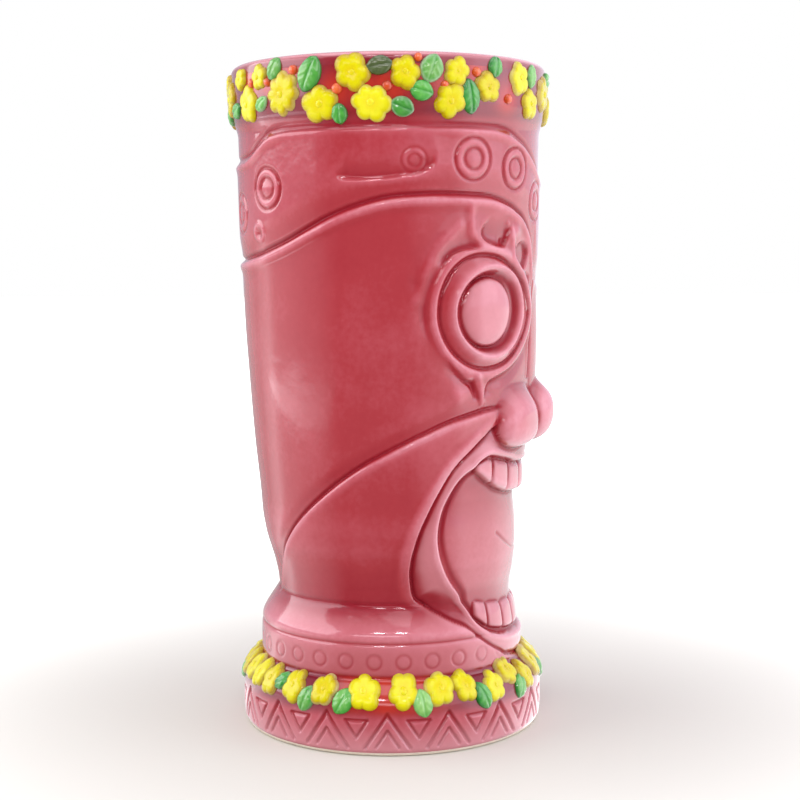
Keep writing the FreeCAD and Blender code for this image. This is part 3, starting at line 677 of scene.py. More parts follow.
fullAngles = np.concatenate([-halfAngles[:0:-1], halfAngles[:-1]])
fullA, fullZ = np.meshgrid(fullAngles, heights)
fullSurface = fullTurn(surface)
fullLabel = fullTurn(label)


def onTurn(angles, radii, zs):
    # (angle, radius, height) in degrees and millimetres to a place in metres
    a = np.radians(angles)
    return np.stack([radii * np.sin(a), -radii * np.cos(a), zs + 0 * radii], axis=-1) * mm


def turnNormals(radii, angles, zs):
    # the normal of r(a, z) is (1, -r_a / r, -r_z) in the directions out, round and up
    step = np.radians(angles[0, 1] - angles[0, 0])
    slopeA = (np.roll(radii, -1, axis=1) - np.roll(radii, 1, axis=1)) / (2 * step) / radii
    slopeZ = np.gradient(radii, zs[:, 0], axis=0)
    a = np.radians(angles)
    out = np.stack([np.sin(a), -np.cos(a), 0 * a], axis=-1)
    around = np.stack([np.cos(a), np.sin(a), 0 * a], axis=-1)
    normal = out - around * slopeA[..., None]
    normal[..., 2] -= slopeZ
    return normal / np.linalg.norm(normal, axis=-1, keepdims=True)


def blurred(field, reach):
    # three passes of a running mean each way, wrapped round the turn and held at the ends in height
    result = field
    for _ in range(3):
        wide = np.pad(result, ((0, 0), (reach, reach)), mode="wrap")
        total = np.cumsum(np.pad(wide, ((0, 0), (1, 0))), axis=1)
        result = (total[:, 2 * reach + 1:] - total[:, :-2 * reach - 1]) / (2 * reach + 1)
        tall = np.pad(result, ((reach, reach), (0, 0)), mode="edge")
        total = np.cumsum(np.pad(tall, ((1, 0), (0, 0))), axis=0)
        result = (total[2 * reach + 1:] - total[:-2 * reach - 1]) / (2 * reach + 1)
    return result


def cavityOf(radii):
    # how far the surface stands over its own fine, broad and very broad averages: glaze thins on ridges
    fine = radii - blurred(radii, 2)
    broad = radii - blurred(radii, 7)
    wide = radii - blurred(radii, 20)
    return 0.3 * np.tanh(fine / 0.14) + 0.4 * np.tanh(broad / 0.5) + 0.28 * np.tanh(wide / 1.2)


def creaseOf(radii):
    # 1 in the sharpest grooves, 0 on open surfaces
    return 0.75 * ramp(blurred(radii, 2) - radii, 0.06, 0.24)


def newMesh(name, points, faces, normals=None, fields=None):
    # points and four-cornered faces as arrays; a face whose last two corners agree is a triangle
    mesh = bpy.data.meshes.new(name)
    faces = np.asarray(faces)
    sides = np.where(faces[:, 2] == faces[:, 3], 3, 4)
    starts = np.concatenate([[0], np.cumsum(sides)[:-1]])
    keep = np.ones(faces.shape, bool)
    keep[:, 3] = sides == 4
    mesh.vertices.add(len(points))
    mesh.vertices.foreach_set("co", np.ascontiguousarray(points, np.float32).ravel())
    mesh.loops.add(int(sides.sum()))
    mesh.loops.foreach_set("vertex_index", faces[keep].astype(np.int32))
    mesh.polygons.add(len(faces))
    mesh.polygons.foreach_set("loop_start", starts.astype(np.int32))
    mesh.polygons.foreach_set("use_smooth", np.ones(len(faces), bool))
    for key, values in (fields or {}).items():
        layer = mesh.attributes.new(key, "FLOAT", "POINT")
        layer.data.foreach_set("value", np.ascontiguousarray(values, np.float32))
    mesh.update(calc_edges=True)
    mesh.validate()
    if normals is not None:
        mesh.normals_split_custom_set_from_vertices(normals)
    return mesh


def addPiece(name, mesh, material, nodes):
    piece = bpy.data.objects.new(name, mesh)
    bpy.context.scene.collection.objects.link(piece)
    mesh.materials.append(material)
    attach(piece, "root")
    if nodes:
        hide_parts(*nodes)
    return piece


def patchMesh(name, mask, tops, backs, normals, fields):
    # the marked squares of a wrapped grid as a block: top, back and a wall along every open side
    rows, columns = np.nonzero(mask)
    rowCount, count = tops.shape[:2]
    right = (columns + 1) % count
    v00, v01 = rows * count + columns, rows * count + right
    v11, v10 = v01 + count, v00 + count
    under = rowCount * count
    faces = [np.stack([v00, v01, v11, v10], 1), np.stack([v10, v11, v01, v00], 1) + under]
    openLeft = ~np.roll(mask, 1, axis=1)[rows, columns]
    openRight = ~np.roll(mask, -1, axis=1)[rows, columns]
    framed = np.pad(mask, ((1, 1), (0, 0)))
    openLow = ~framed[rows, columns]
    openHigh = ~framed[rows + 2, columns]
    sides = ((openLeft, v00, v10), (openLow, v01, v00), (openRight, v11, v01), (openHigh, v10, v11))
    for opened, a, b in sides:
        a, b = a[opened], b[opened]
        faces.append(np.stack([a, b, b + under, a + under], 1))
    faces = np.concatenate(faces)
    used, compact = np.unique(faces, return_inverse=True)
    points = np.concatenate([tops.reshape(-1, 3), backs.reshape(-1, 3)])[used]
    allNormals = np.concatenate([normals.reshape(-1, 3), -normals.reshape(-1, 3)])[used]
    values = {key: np.concatenate([field.ravel(), field.ravel()])[used] for key, field in fields.items()}
    return newMesh(name, points, compact.reshape(faces.shape), allNormals, values)


def turnedMesh(name, section, count=240, fields=None):
    # a closed (radius, height) section carried round a full turn
    section = np.asarray(section, float)
    angles = np.arange(count) * 360 / count
    turns, radii = np.meshgrid(angles, section[:, 0])
    points = onTurn(turns, radii, section[:, 1:])
    rows = np.arange(len(section))
    r, c = np.meshgrid(rows, np.arange(count), indexing="ij")
    nextRow, nextColumn = (r + 1) % len(section), (c + 1) % count
    corners = [r * count + c, r * count + nextColumn, nextRow * count + nextColumn, nextRow * count + c]
    faces = np.stack(corners, axis=-1).reshape(-1, 4)
    return newMesh(name, points.reshape(-1, 3), faces, None, fields)


def arc(centre, radius, fromDegrees, toDegrees, steps=8):
    # points of a circular arc in the (radius, height) plane
    t = np.radians(np.linspace(fromDegrees, toDegrees, steps))
    return [(centre[0] + radius * math.cos(k), centre[1] + radius * math.sin(k)) for k in t]


print("skin grid and mesh makers ready")


# Garlands: half of each ring, laid twice round. Flowers are (angle, height, radius, petals), leaves
# (angle, height, length, width, lean), buds and warm spots of the ground (angle, height, radius)

garland = {
    "turns": [0, 180], "flowerLift": 1.25, "centreLift": 1.22, "centreShare": 0.26, "darkLeaves": [5],
    "leafLift": 1.15, "budLift": 0.9,
    "rimFlowers": [
        (-149, 161, 2.8, 5), (-144, 154.6, 4.4, 5), (-136, 160.5, 3, 5), (-124.5, 156, 5.1, 8),
        (-109, 153.4, 4.6, 5), (-97.5, 160, 4.5, 5), (-91.5, 153.4, 4.6, 6), (-80, 160.2, 3.9, 5),
        (-64.5, 153.8, 4.2, 5), (-62, 160.6, 3.5, 5), (-49.5, 157.2, 3.8, 5), (-34, 160.2, 3.9, 5),
        (-26.5, 154.6, 3.8, 5), (-13, 157.5, 4.8, 6), (-164, 157, 4.6, 6), (-177, 154.8, 4, 5),
        (-174, 161, 3.1, 5),
    ],
    "rimLeaves": [
        (-155, 153.8, 5.6, 3.8, 20), (-135, 154.4, 4.8, 3.2, 35), (-128, 162, 5.6, 4.2, 60),
        (-113, 160.2, 8.6, 6.0, 66), (-102.5, 151, 4.8, 4.0, 90), (-88.5, 161.6, 6.4, 4.4, 10),
        (-81, 152.4, 5.8, 4.6, -20), (-74.5, 156, 5.8, 4.8, -15), (-71, 161, 6.8, 5.6, 70),
        (-57, 155, 8.2, 5.2, 100), (-46.5, 162, 5.0, 4.2, 80), (-25.5, 161, 5.8, 3.6, 80),
        (-4, 161.6, 5.8, 3.8, 15), (-170.5, 153.4, 5.2, 3.6, 60),
    ],
    "rimBuds": [
        (-141, 159.5, 1.2), (-131.5, 159.2, 1.1), (-119.5, 161.4, 1.2), (-103, 156.6, 1.3),
        (-86, 157, 1.2), (-75.6, 163.4, 1), (-66.5, 157.4, 1), (-54.5, 160.6, 1.2), (-40, 155, 1.2),
    ],
    "warmSpots": [(-85, 157.5, 3.2), (-94, 156.5, 2.4), (-73, 159, 1.5), (-104, 156, 2), (-78, 14.5, 6),
                  (-88, 15, 6), (-101, 14.5, 3)],
    "baseFlowers": [
        (-177, 15.4, 3.5, 5), (-167.5, 14.8, 3.4, 5), (-158, 15.2, 3.5, 5), (-149, 14.8, 3.4, 5),
        (-139.5, 14.8, 3.6, 5), (-126, 14.8, 3.7, 5), (-112, 15, 3.6, 5), (-96.5, 15.2, 4.1, 5),
        (-81.5, 15.2, 4.0, 5), (-67, 15.4, 3.9, 5), (-57, 15.2, 3.5, 5), (-43.5, 14.2, 3.5, 5),
        (-33, 16.4, 3.5, 5), (-22.5, 13.8, 3.5, 5), (-10, 15.4, 4, 6),
    ],
    "baseLeaves": [
        (-133, 15, 5, 3.6, 30), (-119, 12.5, 6.2, 4.6, 70), (-104, 12.9, 6.4, 5.0, 60),
        (-74.5, 12.6, 6.4, 4.8, 100), (-50, 12.6, 6.6, 4.8, 110), (-29, 12.2, 6, 4.6, 60),
        (-172.5, 12.4, 5.6, 4, 80), (-1, 12.6, 5.8, 4, 100),
    ],
}


# Glazes


def noise(tree, place, scale, detail, roughness=0.5):
    settings = {"Vector": place, "Scale": scale, "Detail": detail, "Roughness": roughness}
    return added(tree, "ShaderNodeTexNoise", settings).outputs["Fac"]


def attribute(tree, name):
    return added(tree, "ShaderNodeAttribute", {}, attribute_name=name).outputs["Fac"]


def glaze(name, recipe):
    # colour by how the glaze lies (cavity), clouded by two noises and speckled; a thin clear coat on top
    material = bpy.data.materials.new(name)
    material.use_nodes = True
    tree = material.node_tree
    place = added(tree, "ShaderNodeTexCoord", {}).outputs["Object"]
    cloud = noise(tree, place, recipe["cloudScale"], 4, 0.6)
    grain = noise(tree, place, recipe["grainScale"], 3)
    span = {"From Min": -1, "From Max": 1, "To Min": recipe["lie"][0], "To Max": recipe["lie"][1]}
    lie = added(tree, "ShaderNodeMapRange", {"Value": attribute(tree, "cavity"), **span}).outputs["Result"]
    lie = maths(tree, "MULTIPLY_ADD", cloud, recipe["cloudShare"], lie)
    lie = maths(tree, "MULTIPLY_ADD", grain, recipe["grainShare"], lie)
    lie = maths(tree, "SUBTRACT", lie, (recipe["cloudShare"] + recipe["grainShare"]) / 2)
    colour = ramped(tree, lie, [(position, linear(tone)) for position, tone in recipe["stops"]])
    for area, tone in recipe.get("painted", []):
        # a painted area, from its own attribute on the piece
        colour = mixed(tree, attribute(tree, area), colour, (*linear(tone), 1))
    peel = noise(tree, place, recipe["peelScale"], 2)
    bump = {"Strength": recipe["bump"], "Distance": recipes["peelDepth"], "Height": peel}
    sockets = {"Base Color": colour, "Normal": added(tree, "ShaderNodeBump", bump).outputs["Normal"]}
    # the glaze hardly shines in the sharpest grooves
    crease = attribute(tree, "crease")
    for share, socket in ((recipe["specular"], "Specular IOR Level"), (recipe["coat"], "Coat Weight")):
        sockets[socket] = maths(tree, "MULTIPLY_ADD", crease, -share, share)
    sockets.update({"Roughness": recipe["roughness"], "IOR": recipes["refraction"],
                    "Specular Tint": recipes["shineTint"], "Coat Roughness": recipes["coatRoughness"]})
    fill(tree, tree.nodes["Principled BSDF"], sockets)
    return material


# clouding, speckle and orange peel that the glazes of flowers, leaves and buds share
overPetals = {"cloudScale": 160, "cloudShare": 0.5, "grainScale": 600, "grainShare": 0.1, "bump": 0.3,
              "peelScale": 300}
recipes = {
    "peelDepth": 0.0002, "refraction": 1.5, "shineTint": (1, 0.84, 0.95, 1), "coatRoughness": 0.05,
    "rose": {
        "cloudScale": 42, "cloudShare": 0.34, "grainScale": 700, "grainShare": 0.12, "lie": (0.08, 0.92),
        "stops": [(0.0, (134, 22, 36)), (0.25, (152, 36, 46)), (0.5, (166, 52, 59)), (0.72, (188, 86, 96)),
                  (1.0, (222, 150, 162))],
        # pale is thin glaze, and on the eye and the lips partly a painted highlight
        "painted": [("pale", (226, 166, 174)), ("crimson", (112, 8, 28)), ("warm", (196, 52, 30))],
        "bump": 0.35, "peelScale": 260, "roughness": 0.13, "specular": 0.6, "coat": 0.5,
    },
    "yellow": {
        **overPetals, "lie": (0.15, 0.95),
        "stops": [(0.0, (160, 124, 0)), (0.25, (190, 166, 0)), (0.5, (206, 195, 0)), (0.75, (218, 211, 4)),
                  (1.0, (232, 227, 40))],
        "painted": [("paleEdge", (244, 232, 206)), ("warmTint", (226, 160, 30))],
        "roughness": 0.16, "specular": 0.3, "coat": 0.2,
    },
    "green": {
        **overPetals, "lie": (0.1, 0.95),
        "stops": [(0.0, (14, 82, 28)), (0.35, (38, 132, 48)), (0.6, (84, 172, 66)), (1.0, (168, 214, 128))],
        "painted": [("paleEdge", (206, 226, 190)), ("darkTint", (58, 22, 30))],
        "roughness": 0.14, "specular": 0.6, "coat": 0.5,
    },
    "orange": {
        **overPetals, "lie": (0.1, 0.9),
        "stops": [(0.0, (150, 40, 20)), (0.5, (214, 84, 30)), (1.0, (238, 150, 80))],
        "roughness": 0.14, "specular": 0.6, "coat": 0.5,
    },
    "clay": {
        "cloudScale": 120, "cloudShare": 0.6, "grainScale": 1400, "grainShare": 0.4, "lie": (0.4, 0.6),
        "stops": [(0.0, (206, 190, 168)), (0.5, (226, 214, 196)), (1.0, (240, 232, 220))],
        "bump": 0.6, "peelScale": 1200, "roughness": 0.75, "specular": 0.3, "coat": 0.0,
    },
}
roseGlaze = glaze("roseGlaze", recipes["rose"])
yellowGlaze = glaze("yellowGlaze", recipes["yellow"])
greenGlaze = glaze("greenGlaze", recipes["green"])
orangeGlaze = glaze("orangeGlaze", recipes["orange"])
bareClay = glaze("bareClay", recipes["clay"])
print("glazes mixed")


# Skin pieces: every one is a block between the liner and the carved surface

linerGap = 1.3
mouthTop = 82


def linerProfile(z):
    # the wall behind the carving, all the way round as deep as the mouth needs it
    return np.minimum(bodyProfile(z), mouthProfile(np.minimum(z, mouthTop))) - linerGap


skinTops = onTurn(fullA, fullSurface, fullZ)
skinBacks = onTurn(fullA, np.minimum(linerProfile(fullZ), fullSurface - 0.5), fullZ)
skinNormals = turnNormals(fullSurface, fullA, fullZ)
paint = {
    # crimson ground of both garlands: where it lies, and how far it fades
    "bandLow": 149.3, "bandHigh": 163.4, "bandEnd": 164.5, "bandFade": 2.4,
    "collarHigh": 18.9, "collarFade": 1.6, "collarLow": (8.6, 11.6),
    "warmReach": 2.4, "warmRadius": 38.5, "strength": 0.85,
    # pale rose towards the foot and on the lip
    "footFade": (-9.5, -0.5), "footPale": 0.55, "lipFade": (163.4, 164.8), "lipPale": 0.8,
    # glaze paler where the skin stands this far off the wall, below the band, and over whole regions: thin
    # glaze, and on the eye and the lips partly a painted highlight
    "thinRise": (0.7, 2.6), "thinMost": 0.36, "thinBelow": 149,
    "paleAndSheenOn": {"eye": 0.34, "nose": 0.14, "upperTeeth": 0.38, "lowerTeeth": 0.34, "tongue": 0.12,
    "lips": 0.36, "collar": 0.2, "beads": 0.2, "shoulder": 0.15},
}


def rosyFields(radii, angles, zs, extraPaleAndSheen=0):
    # cavity, and the painted grounds of the two garlands: crimson, warm orange and pale rose; the extra
    # paleness passed in is thin glaze, and on the eye and the lips partly a painted highlight
    low, high = paint["bandLow"], -paint["collarHigh"]
    crimson = ramp(zs, low, low + paint["bandFade"]) * ramp(-zs, -paint["bandEnd"], -paint["bandHigh"])
    crimson += ramp(-zs, high, high + paint["collarFade"]) * ramp(zs, *paint["collarLow"])
    warm = np.zeros(angles.shape)
    for turn in garland["turns"]:
        for angle, height, size in garland["rimBuds"] + garland["warmSpots"]:
            apart = np.radians((angles - angle - turn + 180) % 360 - 180) * paint["warmRadius"]
            warm = np.maximum(warm, bell(np.hypot(apart, zs - height), size + paint["warmReach"]))
    foot, edge = ramp(-zs, *paint["footFade"]), ramp(zs, *paint["lipFade"])
    pale = foot * paint["footPale"] + edge * paint["lipPale"] + extraPaleAndSheen
    return {"cavity": cavityOf(radii), "crease": creaseOf(radii), "crimson": crimson * paint["strength"],
            "warm": warm * paint["strength"] * crimson, "pale": pale}


standing = fullSurface - bodyProfile(fullZ)
# paler glaze on raised parts and whole regions: thin glaze, and on the eye and the lips partly a painted
# highlight
paleGlazeAndSheen = paint["thinMost"] * ramp(standing, *paint["thinRise"]) * (fullZ < paint["thinBelow"])
for region, share in paint["paleAndSheenOn"].items():
    paleGlazeAndSheen = np.where(fullLabel == region, share, paleGlazeAndSheen)
paleGlazeAndSheen = blurred(paleGlazeAndSheen, 1) * ramp(cavityOf(fullSurface), -0.45, 0.1)
skinFields = rosyFields(fullSurface, fullA, fullZ, paleGlazeAndSheen)

skinPieces = {
    # piece: (label, side, CAD node); side -1 is the mug's own right, 0 both sides
    "nose": ("nose", 0, "nose"), "lips": ("lips", 0, "lips"), "tongue": ("tongue", 0, "tongue"),
    "upperTeeth": ("upperTeeth", 0, "upper_teeth"), "lowerTeeth": ("lowerTeeth", 0, "lower_teeth"),
    "rightEye": ("eye", -1, "right_eye"), "leftEye": ("eye", 1, "left_eye"),
    "rightEyeRing": ("eyeRing", -1, "right_eye_ring"), "leftEyeRing": ("eyeRing", 1, "left_eye_ring"),
    "rightEyelid": ("eyelid", -1, "right_eyelid"), "leftEyelid": ("eyelid", 1, "left_eyelid"),
    "rightBrow": ("brow", -1, "right_brow"), "leftBrow": ("brow", 1, "left_brow"),
    "rightCheek": ("cheek", -1, "right_cheek"), "leftCheek": ("cheek", 1, "left_cheek"),
    "rightWall": ("wall", -1, "vessel"), "leftWall": ("wall", 1, "vessel"),
    "rightBack": ("back", -1, "vessel"), "leftBack": ("back", 1, "vessel"),
    "headband": ("headband", 0, "headband"), "medallions": ("medallions", 0, "headband_medallions"),
    "rimBand": ("band", 0, "rim_band"), "collar": ("collar", 0, "collar"),
    "collarBeads": ("beads", 0, "collar_beads"), "shoulder": ("shoulder", 0, "shoulder"),
}


def makeSkin():
    squareLabel = fullLabel[:-1]
    squareSide = np.sign(fullA[:-1] + 0.01)
    for name, (region, side, node) in skinPieces.items():
        mask = squareLabel == region
        if side:
            mask &= squareSide == side
        mesh = patchMesh(name, mask, skinTops, skinBacks, skinNormals, skinFields)
        addPiece(name, mesh, roseGlaze, [node])
        print(name, mask.sum() * 2, "triangles in its face")


makeSkin()

well = {
    "floor": 7.0, "corner": 5.0, "under": 1.5, "thick": 4.3, "core": 28.6, "mouth": 33.9, "top": 161.6,
    # (height, greatest radius) of the drinking space behind the shoulder and the neck
    "waist": 35.5, "limit": [(12, 24.4), (35, 24.6), (50, 28.2), (54, 40)],
}


def makeLiner():
    # the wall behind the carving and the drinking space: one closed turned section
    outside = [(linerProfile(z) - 0.02, z) for z in np.linspace(17.2, well["top"], 120)]
    innerZ = np.linspace(well["top"], well["floor"] + well["corner"], 60)
    inner = np.minimum(bodyProfile(np.maximum(innerZ, well["waist"])) - well["thick"], well["mouth"])
    inner = np.minimum(inner, np.interp(innerZ, *zip(*well["limit"])))
    inside = list(zip(inner, innerZ))
    cornerAt = (inside[-1][0] - well["corner"], well["floor"] + well["corner"])
    inside += arc(cornerAt, well["corner"], 0, -90)[1:]
    flat = [(r, well["floor"]) for r in np.linspace(cornerAt[0], 0.02, 12)[1:]]
    below = [(r, well["under"]) for r in np.linspace(0.02, well["core"], 12)]
    section = outside + inside + flat + below
    mesh = turnedMesh("innerWall", section, fields={"cavity": np.zeros(len(section) * 240)})
    addPiece("innerWall", mesh, roseGlaze, ["vessel"])


makeLiner()

rim = {"low": 162.0, "outer": 39.3, "inner": 33.9, "round": 1.6, "top": 165.0, "pale": 0.7}


def makeLip():
    # rounded drinking edge: a closed section with its two upper corners as quarter circles
    r = rim["round"]
    section = [(rim["inner"], 161.2), (rim["outer"] - 0.1, 161.2), (rim["outer"], 161.6)]
    section += arc((rim["outer"] - r, rim["top"] - r), r, 0, 90, 12)
    section += arc((rim["inner"] + r, rim["top"] - r), r, 90, 180, 12)
    section = np.array(section)
    pale = np.repeat(rim["pale"] * ramp(section[:, 1], 163.4, 164.6), 360)
    crimson = paint["strength"] * (rim["pale"] - pale)
    fields = {"cavity": np.zeros(pale.size), "pale": pale, "crimson": crimson}
    addPiece("lip", turnedMesh("lip", section, 360, fields), roseGlaze, ["lip"])


makeLip()
print("skin, inner wall and lip made")


# Plinth with its carved zigzag, and the bare foot

plinth = {
    "columns": 900, "rows": 52, "count": 16, "start": 2.5,
    # strokes in one repeat: (degrees, height) to (degrees, height), depth, half width
    "strokes": [
        ((0, 10.2), (8, 2.2), 0.5, 0.5), ((0, 10.2), (-8, 2.2), 0.5, 0.5),
        ((0, 6.4), (4, 2.4), 0.42, 0.42), ((0, 6.4), (-4, 2.4), 0.42, 0.42),
        ((7.2, 8.8), (15.3, 8.8), 0.42, 0.42), ((7.2, 8.8), (11.25, 4.6), 0.42, 0.42),
        ((15.3, 8.8), (11.25, 4.6), 0.42, 0.42),
    ],
}


def makePlinth():
    # radius of the turned profile less a bell-shaped groove along each stroke of the zigzag
    angles = np.arange(plinth["columns"]) * 360 / plinth["columns"] - 180
    rows = np.linspace(0.9, 17.2, plinth["rows"] + 1)
    a, z = np.meshgrid(angles, rows)
    radii = plinthProfile(z)
    pitch = 360 / plinth["count"]
    degree = math.radians(1) * 38.2
    x = ((a - plinth["start"]) % pitch) * degree
    cut = np.zeros(a.shape)
    for shift in (-1, 0, 1):
        for start, end, depth, width in plinth["strokes"]:
            line = np.array([((p + shift * pitch) * degree, q) for p, q in (start, end)])
            far = nearest(line, x, z)[0]
            cut = np.maximum(cut, depth * bell(far, width))
    radii = radii - cut + 0.1 * bell(cut - 0.1, 0.08)
    backs = onTurn(a, np.full(a.shape, 28.8), z)
    tops = onTurn(a, radii, z)
    mask = np.ones((plinth["rows"], plinth["columns"]), bool)
    mesh = patchMesh("plinth", mask, tops, backs, turnNormals(radii, a, z), rosyFields(radii, a, z))
    addPiece("plinth", mesh, roseGlaze, ["plinth"])
    section = [(30.2, 1.6), (30.0, 0.5), (30.4, 0.0), (36.9, 0.0), (37.45, 0.25), (37.7, 0.9), (37.6, 1.6)]
    foot = turnedMesh("footRing", section, 360, {"cavity": np.zeros(len(section) * 360)})
    addPiece("footRing", foot, bareClay, ["foot_ring"])


makePlinth()
print("plinth and foot made")


# Garland tiles

def surfaceOf(profileAt):
    # radius and normal of a turned surface at a height
    def at(z):
        radius = profileAt(z)
        slope = (profileAt(z + 0.05) - profileAt(z - 0.05)) / 0.1
        size = np.sqrt(1 + slope ** 2)
        return radius, 1 / size, -slope / size
    return at


rimProfile = profile([(149, 37.95), (150.2, 38.35), (152, 38.9), (154, 39.2), (158, 39.35), (162.8, 39.3),
                      (164.0, 39.0), (165.2, 38.0), (166, 36.5)])
lowProfile = profile([(8.5, 38.3), (11, 38.1), (12.5, 37.8), (14, 37.1), (15.4, 36.1), (16.5, 34.9),
                      (17.4, 33.9), (18.6, 33.45), (21, 33.35), (24, 33.35)])
rimSurface = surfaceOf(rimProfile)
lowSurface = surfaceOf(lowProfile)


def tile(surfaceAt, angle, height, turn, outline, liftOf, rings=10, spokes=60):
    # a raised tile: a grid of rings rho between its middle and its outline (x(psi), y(psi)), lifted by liftOf
    # along the surface normal, with a rim that goes down into the clay and a closed underside
    psi = np.arange(spokes) * 2 * math.pi / spokes
    rho = np.linspace(0, 1, rings + 1)[1:, None]
    outX, outY = outline(psi)
    x, y = rho * outX, rho * outY
    lift = liftOf(rho + 0 * x, psi[None, :] + 0 * x, x, y)
    edge = np.vstack([rho + 0 * x, np.ones((2, spokes))])
    x = np.vstack([x, x[-1:] * 1.01, x[-1:] * 0.9])
    y = np.vstack([y, y[-1:] * 1.01, y[-1:] * 0.9])
    lift = np.vstack([lift, np.full((1, spokes), -0.25), np.full((1, spokes), -0.8)])
    middleLift = liftOf(*(np.zeros((1, 1)) for _ in range(4)))[0, 0]
    x = np.concatenate([[0, 0], x.ravel()])
    y = np.concatenate([[0, 0], y.ravel()])
    lift = np.concatenate([[middleLift, -0.8], lift.ravel()])
    edge = np.concatenate([[0, 1], edge.ravel()])
    t = math.radians(turn)
    sideways, up = x * math.cos(t) - y * math.sin(t), x * math.sin(t) + y * math.cos(t)
    radius, out, rise = surfaceAt(height + up)
    a = angle + np.degrees(sideways / surfaceAt(height)[0])
    points = onTurn(a, radius + lift * out, height + up + lift * rise)
    k = np.arange(spokes)
    n = (k + 1) % spokes
    first = 2
    faces = [np.stack([np.zeros(spokes, int), first + k, first + n, first + n], 1)]
    for ring in range(rings + 1):
        low, high = first + ring * spokes, first + (ring + 1) * spokes
        faces.append(np.stack([low + k, high + k, high + n, low + n], 1))
    last = first + (rings + 1) * spokes
    faces.append(np.stack([last + k, np.ones(spokes, int), last + n, last + n], 1))
    return points, np.concatenate(faces), edge, lift


def gathered(name, tiles, fieldsOf, material, nodes):
    # many tiles as one piece; fieldsOf gives each tile's own attributes
    points, faces, fields, base = [], [], {}, 0
    for k, (p, f, edge, lift) in enumerate(tiles):
        points.append(p)
        faces.append(f + base)
        base += len(p)
        for key, values in fieldsOf(k, edge, lift).items():
            fields.setdefault(key, []).append(values)
    fields = {key: np.concatenate(values) for key, values in fields.items()}
    mesh = newMesh(name, np.concatenate(points), np.concatenate(faces), None, fields)
    addPiece(name, mesh, material, nodes)


def flowerTile(surfaceAt, angle, height, radius, petals, turn, lift, uneven):
    # r(psi) is scalloped by |cos| and pulled a little out of round; each petal is a dome between two creases
    def outline(psi):
        wave = 0.05 * np.cos(psi + 6 * uneven) + 0.05 * np.cos(2 * psi + 11 * uneven)
        r = radius * (1 - 0.17 + 0.17 * np.abs(np.cos(petals * psi / 2)) + 1.3 * wave)
        return r * np.cos(psi), r * np.sin(psi)

    def rise(rho, psi, x, y):
        petal = np.abs(np.cos(petals * psi / 2))
        dome = (1 - rho ** 3) ** 0.5
        crease = 0.2 * (1 - petal) ** 2 * ramp(rho, 0.3, 0.9)
        return lift * (0.15 + 0.85 * dome) - crease - 0.3 * bell(rho, 0.45)
    return tile(surfaceAt, angle, height, turn, outline, rise)


def leafTile(surfaceAt, angle, height, length, width, turn, lift):
    # x = a cos psi, y = b sin psi |sin psi|^0.3: an oval with drawn-out tips, and a shallow midrib
    def outline(psi):
        return length / 2 * np.cos(psi), width / 2 * np.sin(psi) * np.abs(np.sin(psi)) ** 0.3

    def rise(rho, psi, x, y):
        dome = (1 - rho ** 2.6) ** 0.5
        rib = 0.25 * bell(y, 0.35) * ramp(-rho, -1, -0.7)
        veins = 0.06 * np.cos((x + 0.8 * np.abs(y)) * 3.6) * ramp(np.abs(y), 0.3, 0.8)
        return lift * (0.15 + 0.85 * dome) - rib - veins
    return tile(surfaceAt, angle, height, turn, outline, rise, 12, 64)


def budTile(surfaceAt, angle, height, radius, lift):
    def outline(psi):
        return radius * np.cos(psi), radius * np.sin(psi)

    def rise(rho, psi, x, y):
        return lift * np.sqrt(np.clip(1 - rho ** 2.2, 0, 1))
    return tile(surfaceAt, angle, height, 0, outline, rise, 8, 28)


def makeGarland(prefix, node, surfaceAt, flowers, leaves, buds, seed):
    chance = np.random.default_rng(seed)
    flowerTiles, centreTiles, leafTiles, budTiles = [], [], [], []
    for turn in garland["turns"]:
        for angle, height, radius, petals in flowers:
            lean = chance.uniform(0, 360)
            lift = garland["flowerLift"] * chance.uniform(0.85, 1.1)
            uneven = chance.uniform(0, 1)
            place = surfaceAt, angle + turn, height
            flowerTiles.append(flowerTile(*place, radius, petals, lean, lift, uneven))
            centreTiles.append(budTile(*place, radius * garland["centreShare"], garland["centreLift"]))
        for angle, height, length, width, lean in leaves:
            place = surfaceAt, angle + turn, height
            leafTiles.append(leafTile(*place, length, width, lean, garland["leafLift"]))
        for angle, height, radius in buds:
            budTiles.append(budTile(surfaceAt, angle + turn, height, radius, garland["budLift"]))
    tones = chance.uniform(-0.45, 0.45, 200)
    pale = chance.uniform(0, 1, 200) ** 2
    tint = 0.25 * chance.uniform(0, 1, 200) ** 3
    if buds:
        for leaf in garland["darkLeaves"]:
            tint[[leaf, leaf + len(leaves)]] = 1

    def flowerFields(k, edge, lift):
        return {"cavity": tones[k] + 0.5 - 1.5 * ramp(edge, 0.55, 1),
                "paleEdge": 0.35 * pale[k] * ramp(edge, 0.8, 1), "warmTint": 0.3 * bell(edge, 0.35)}

    def leafFields(k, edge, lift):
        return {"cavity": tones[k + 60] + (lift - 0.7) * 0.9,
                "paleEdge": 0.6 * pale[k + 60] * ramp(edge, 0.7, 1), "darkTint": tint[k] * 0.8 + 0 * edge}

    def plainFields(k, edge, lift):
        return {"cavity": tones[k + 100] + 0.3 - 0.6 * edge}

    gathered(prefix + "Flowers", flowerTiles, flowerFields, yellowGlaze, [node + "_flowers"])
    gathered(prefix + "Centres", centreTiles, flowerFields, yellowGlaze, [node + "_centres"])
    gathered(prefix + "Leaves", leafTiles, leafFields, greenGlaze, [node + "_leaves"])
    if buds:
        gathered(prefix + "Buds", budTiles, plainFields, orangeGlaze, [node + "_buds"])


makeGarland("rim", "rim", rimSurface, garland["rimFlowers"], garland["rimLeaves"], garland["rimBuds"], 11)
makeGarland("base", "base", lowSurface, garland["baseFlowers"], garland["baseLeaves"], [], 23)
print("garlands made")


# Floor

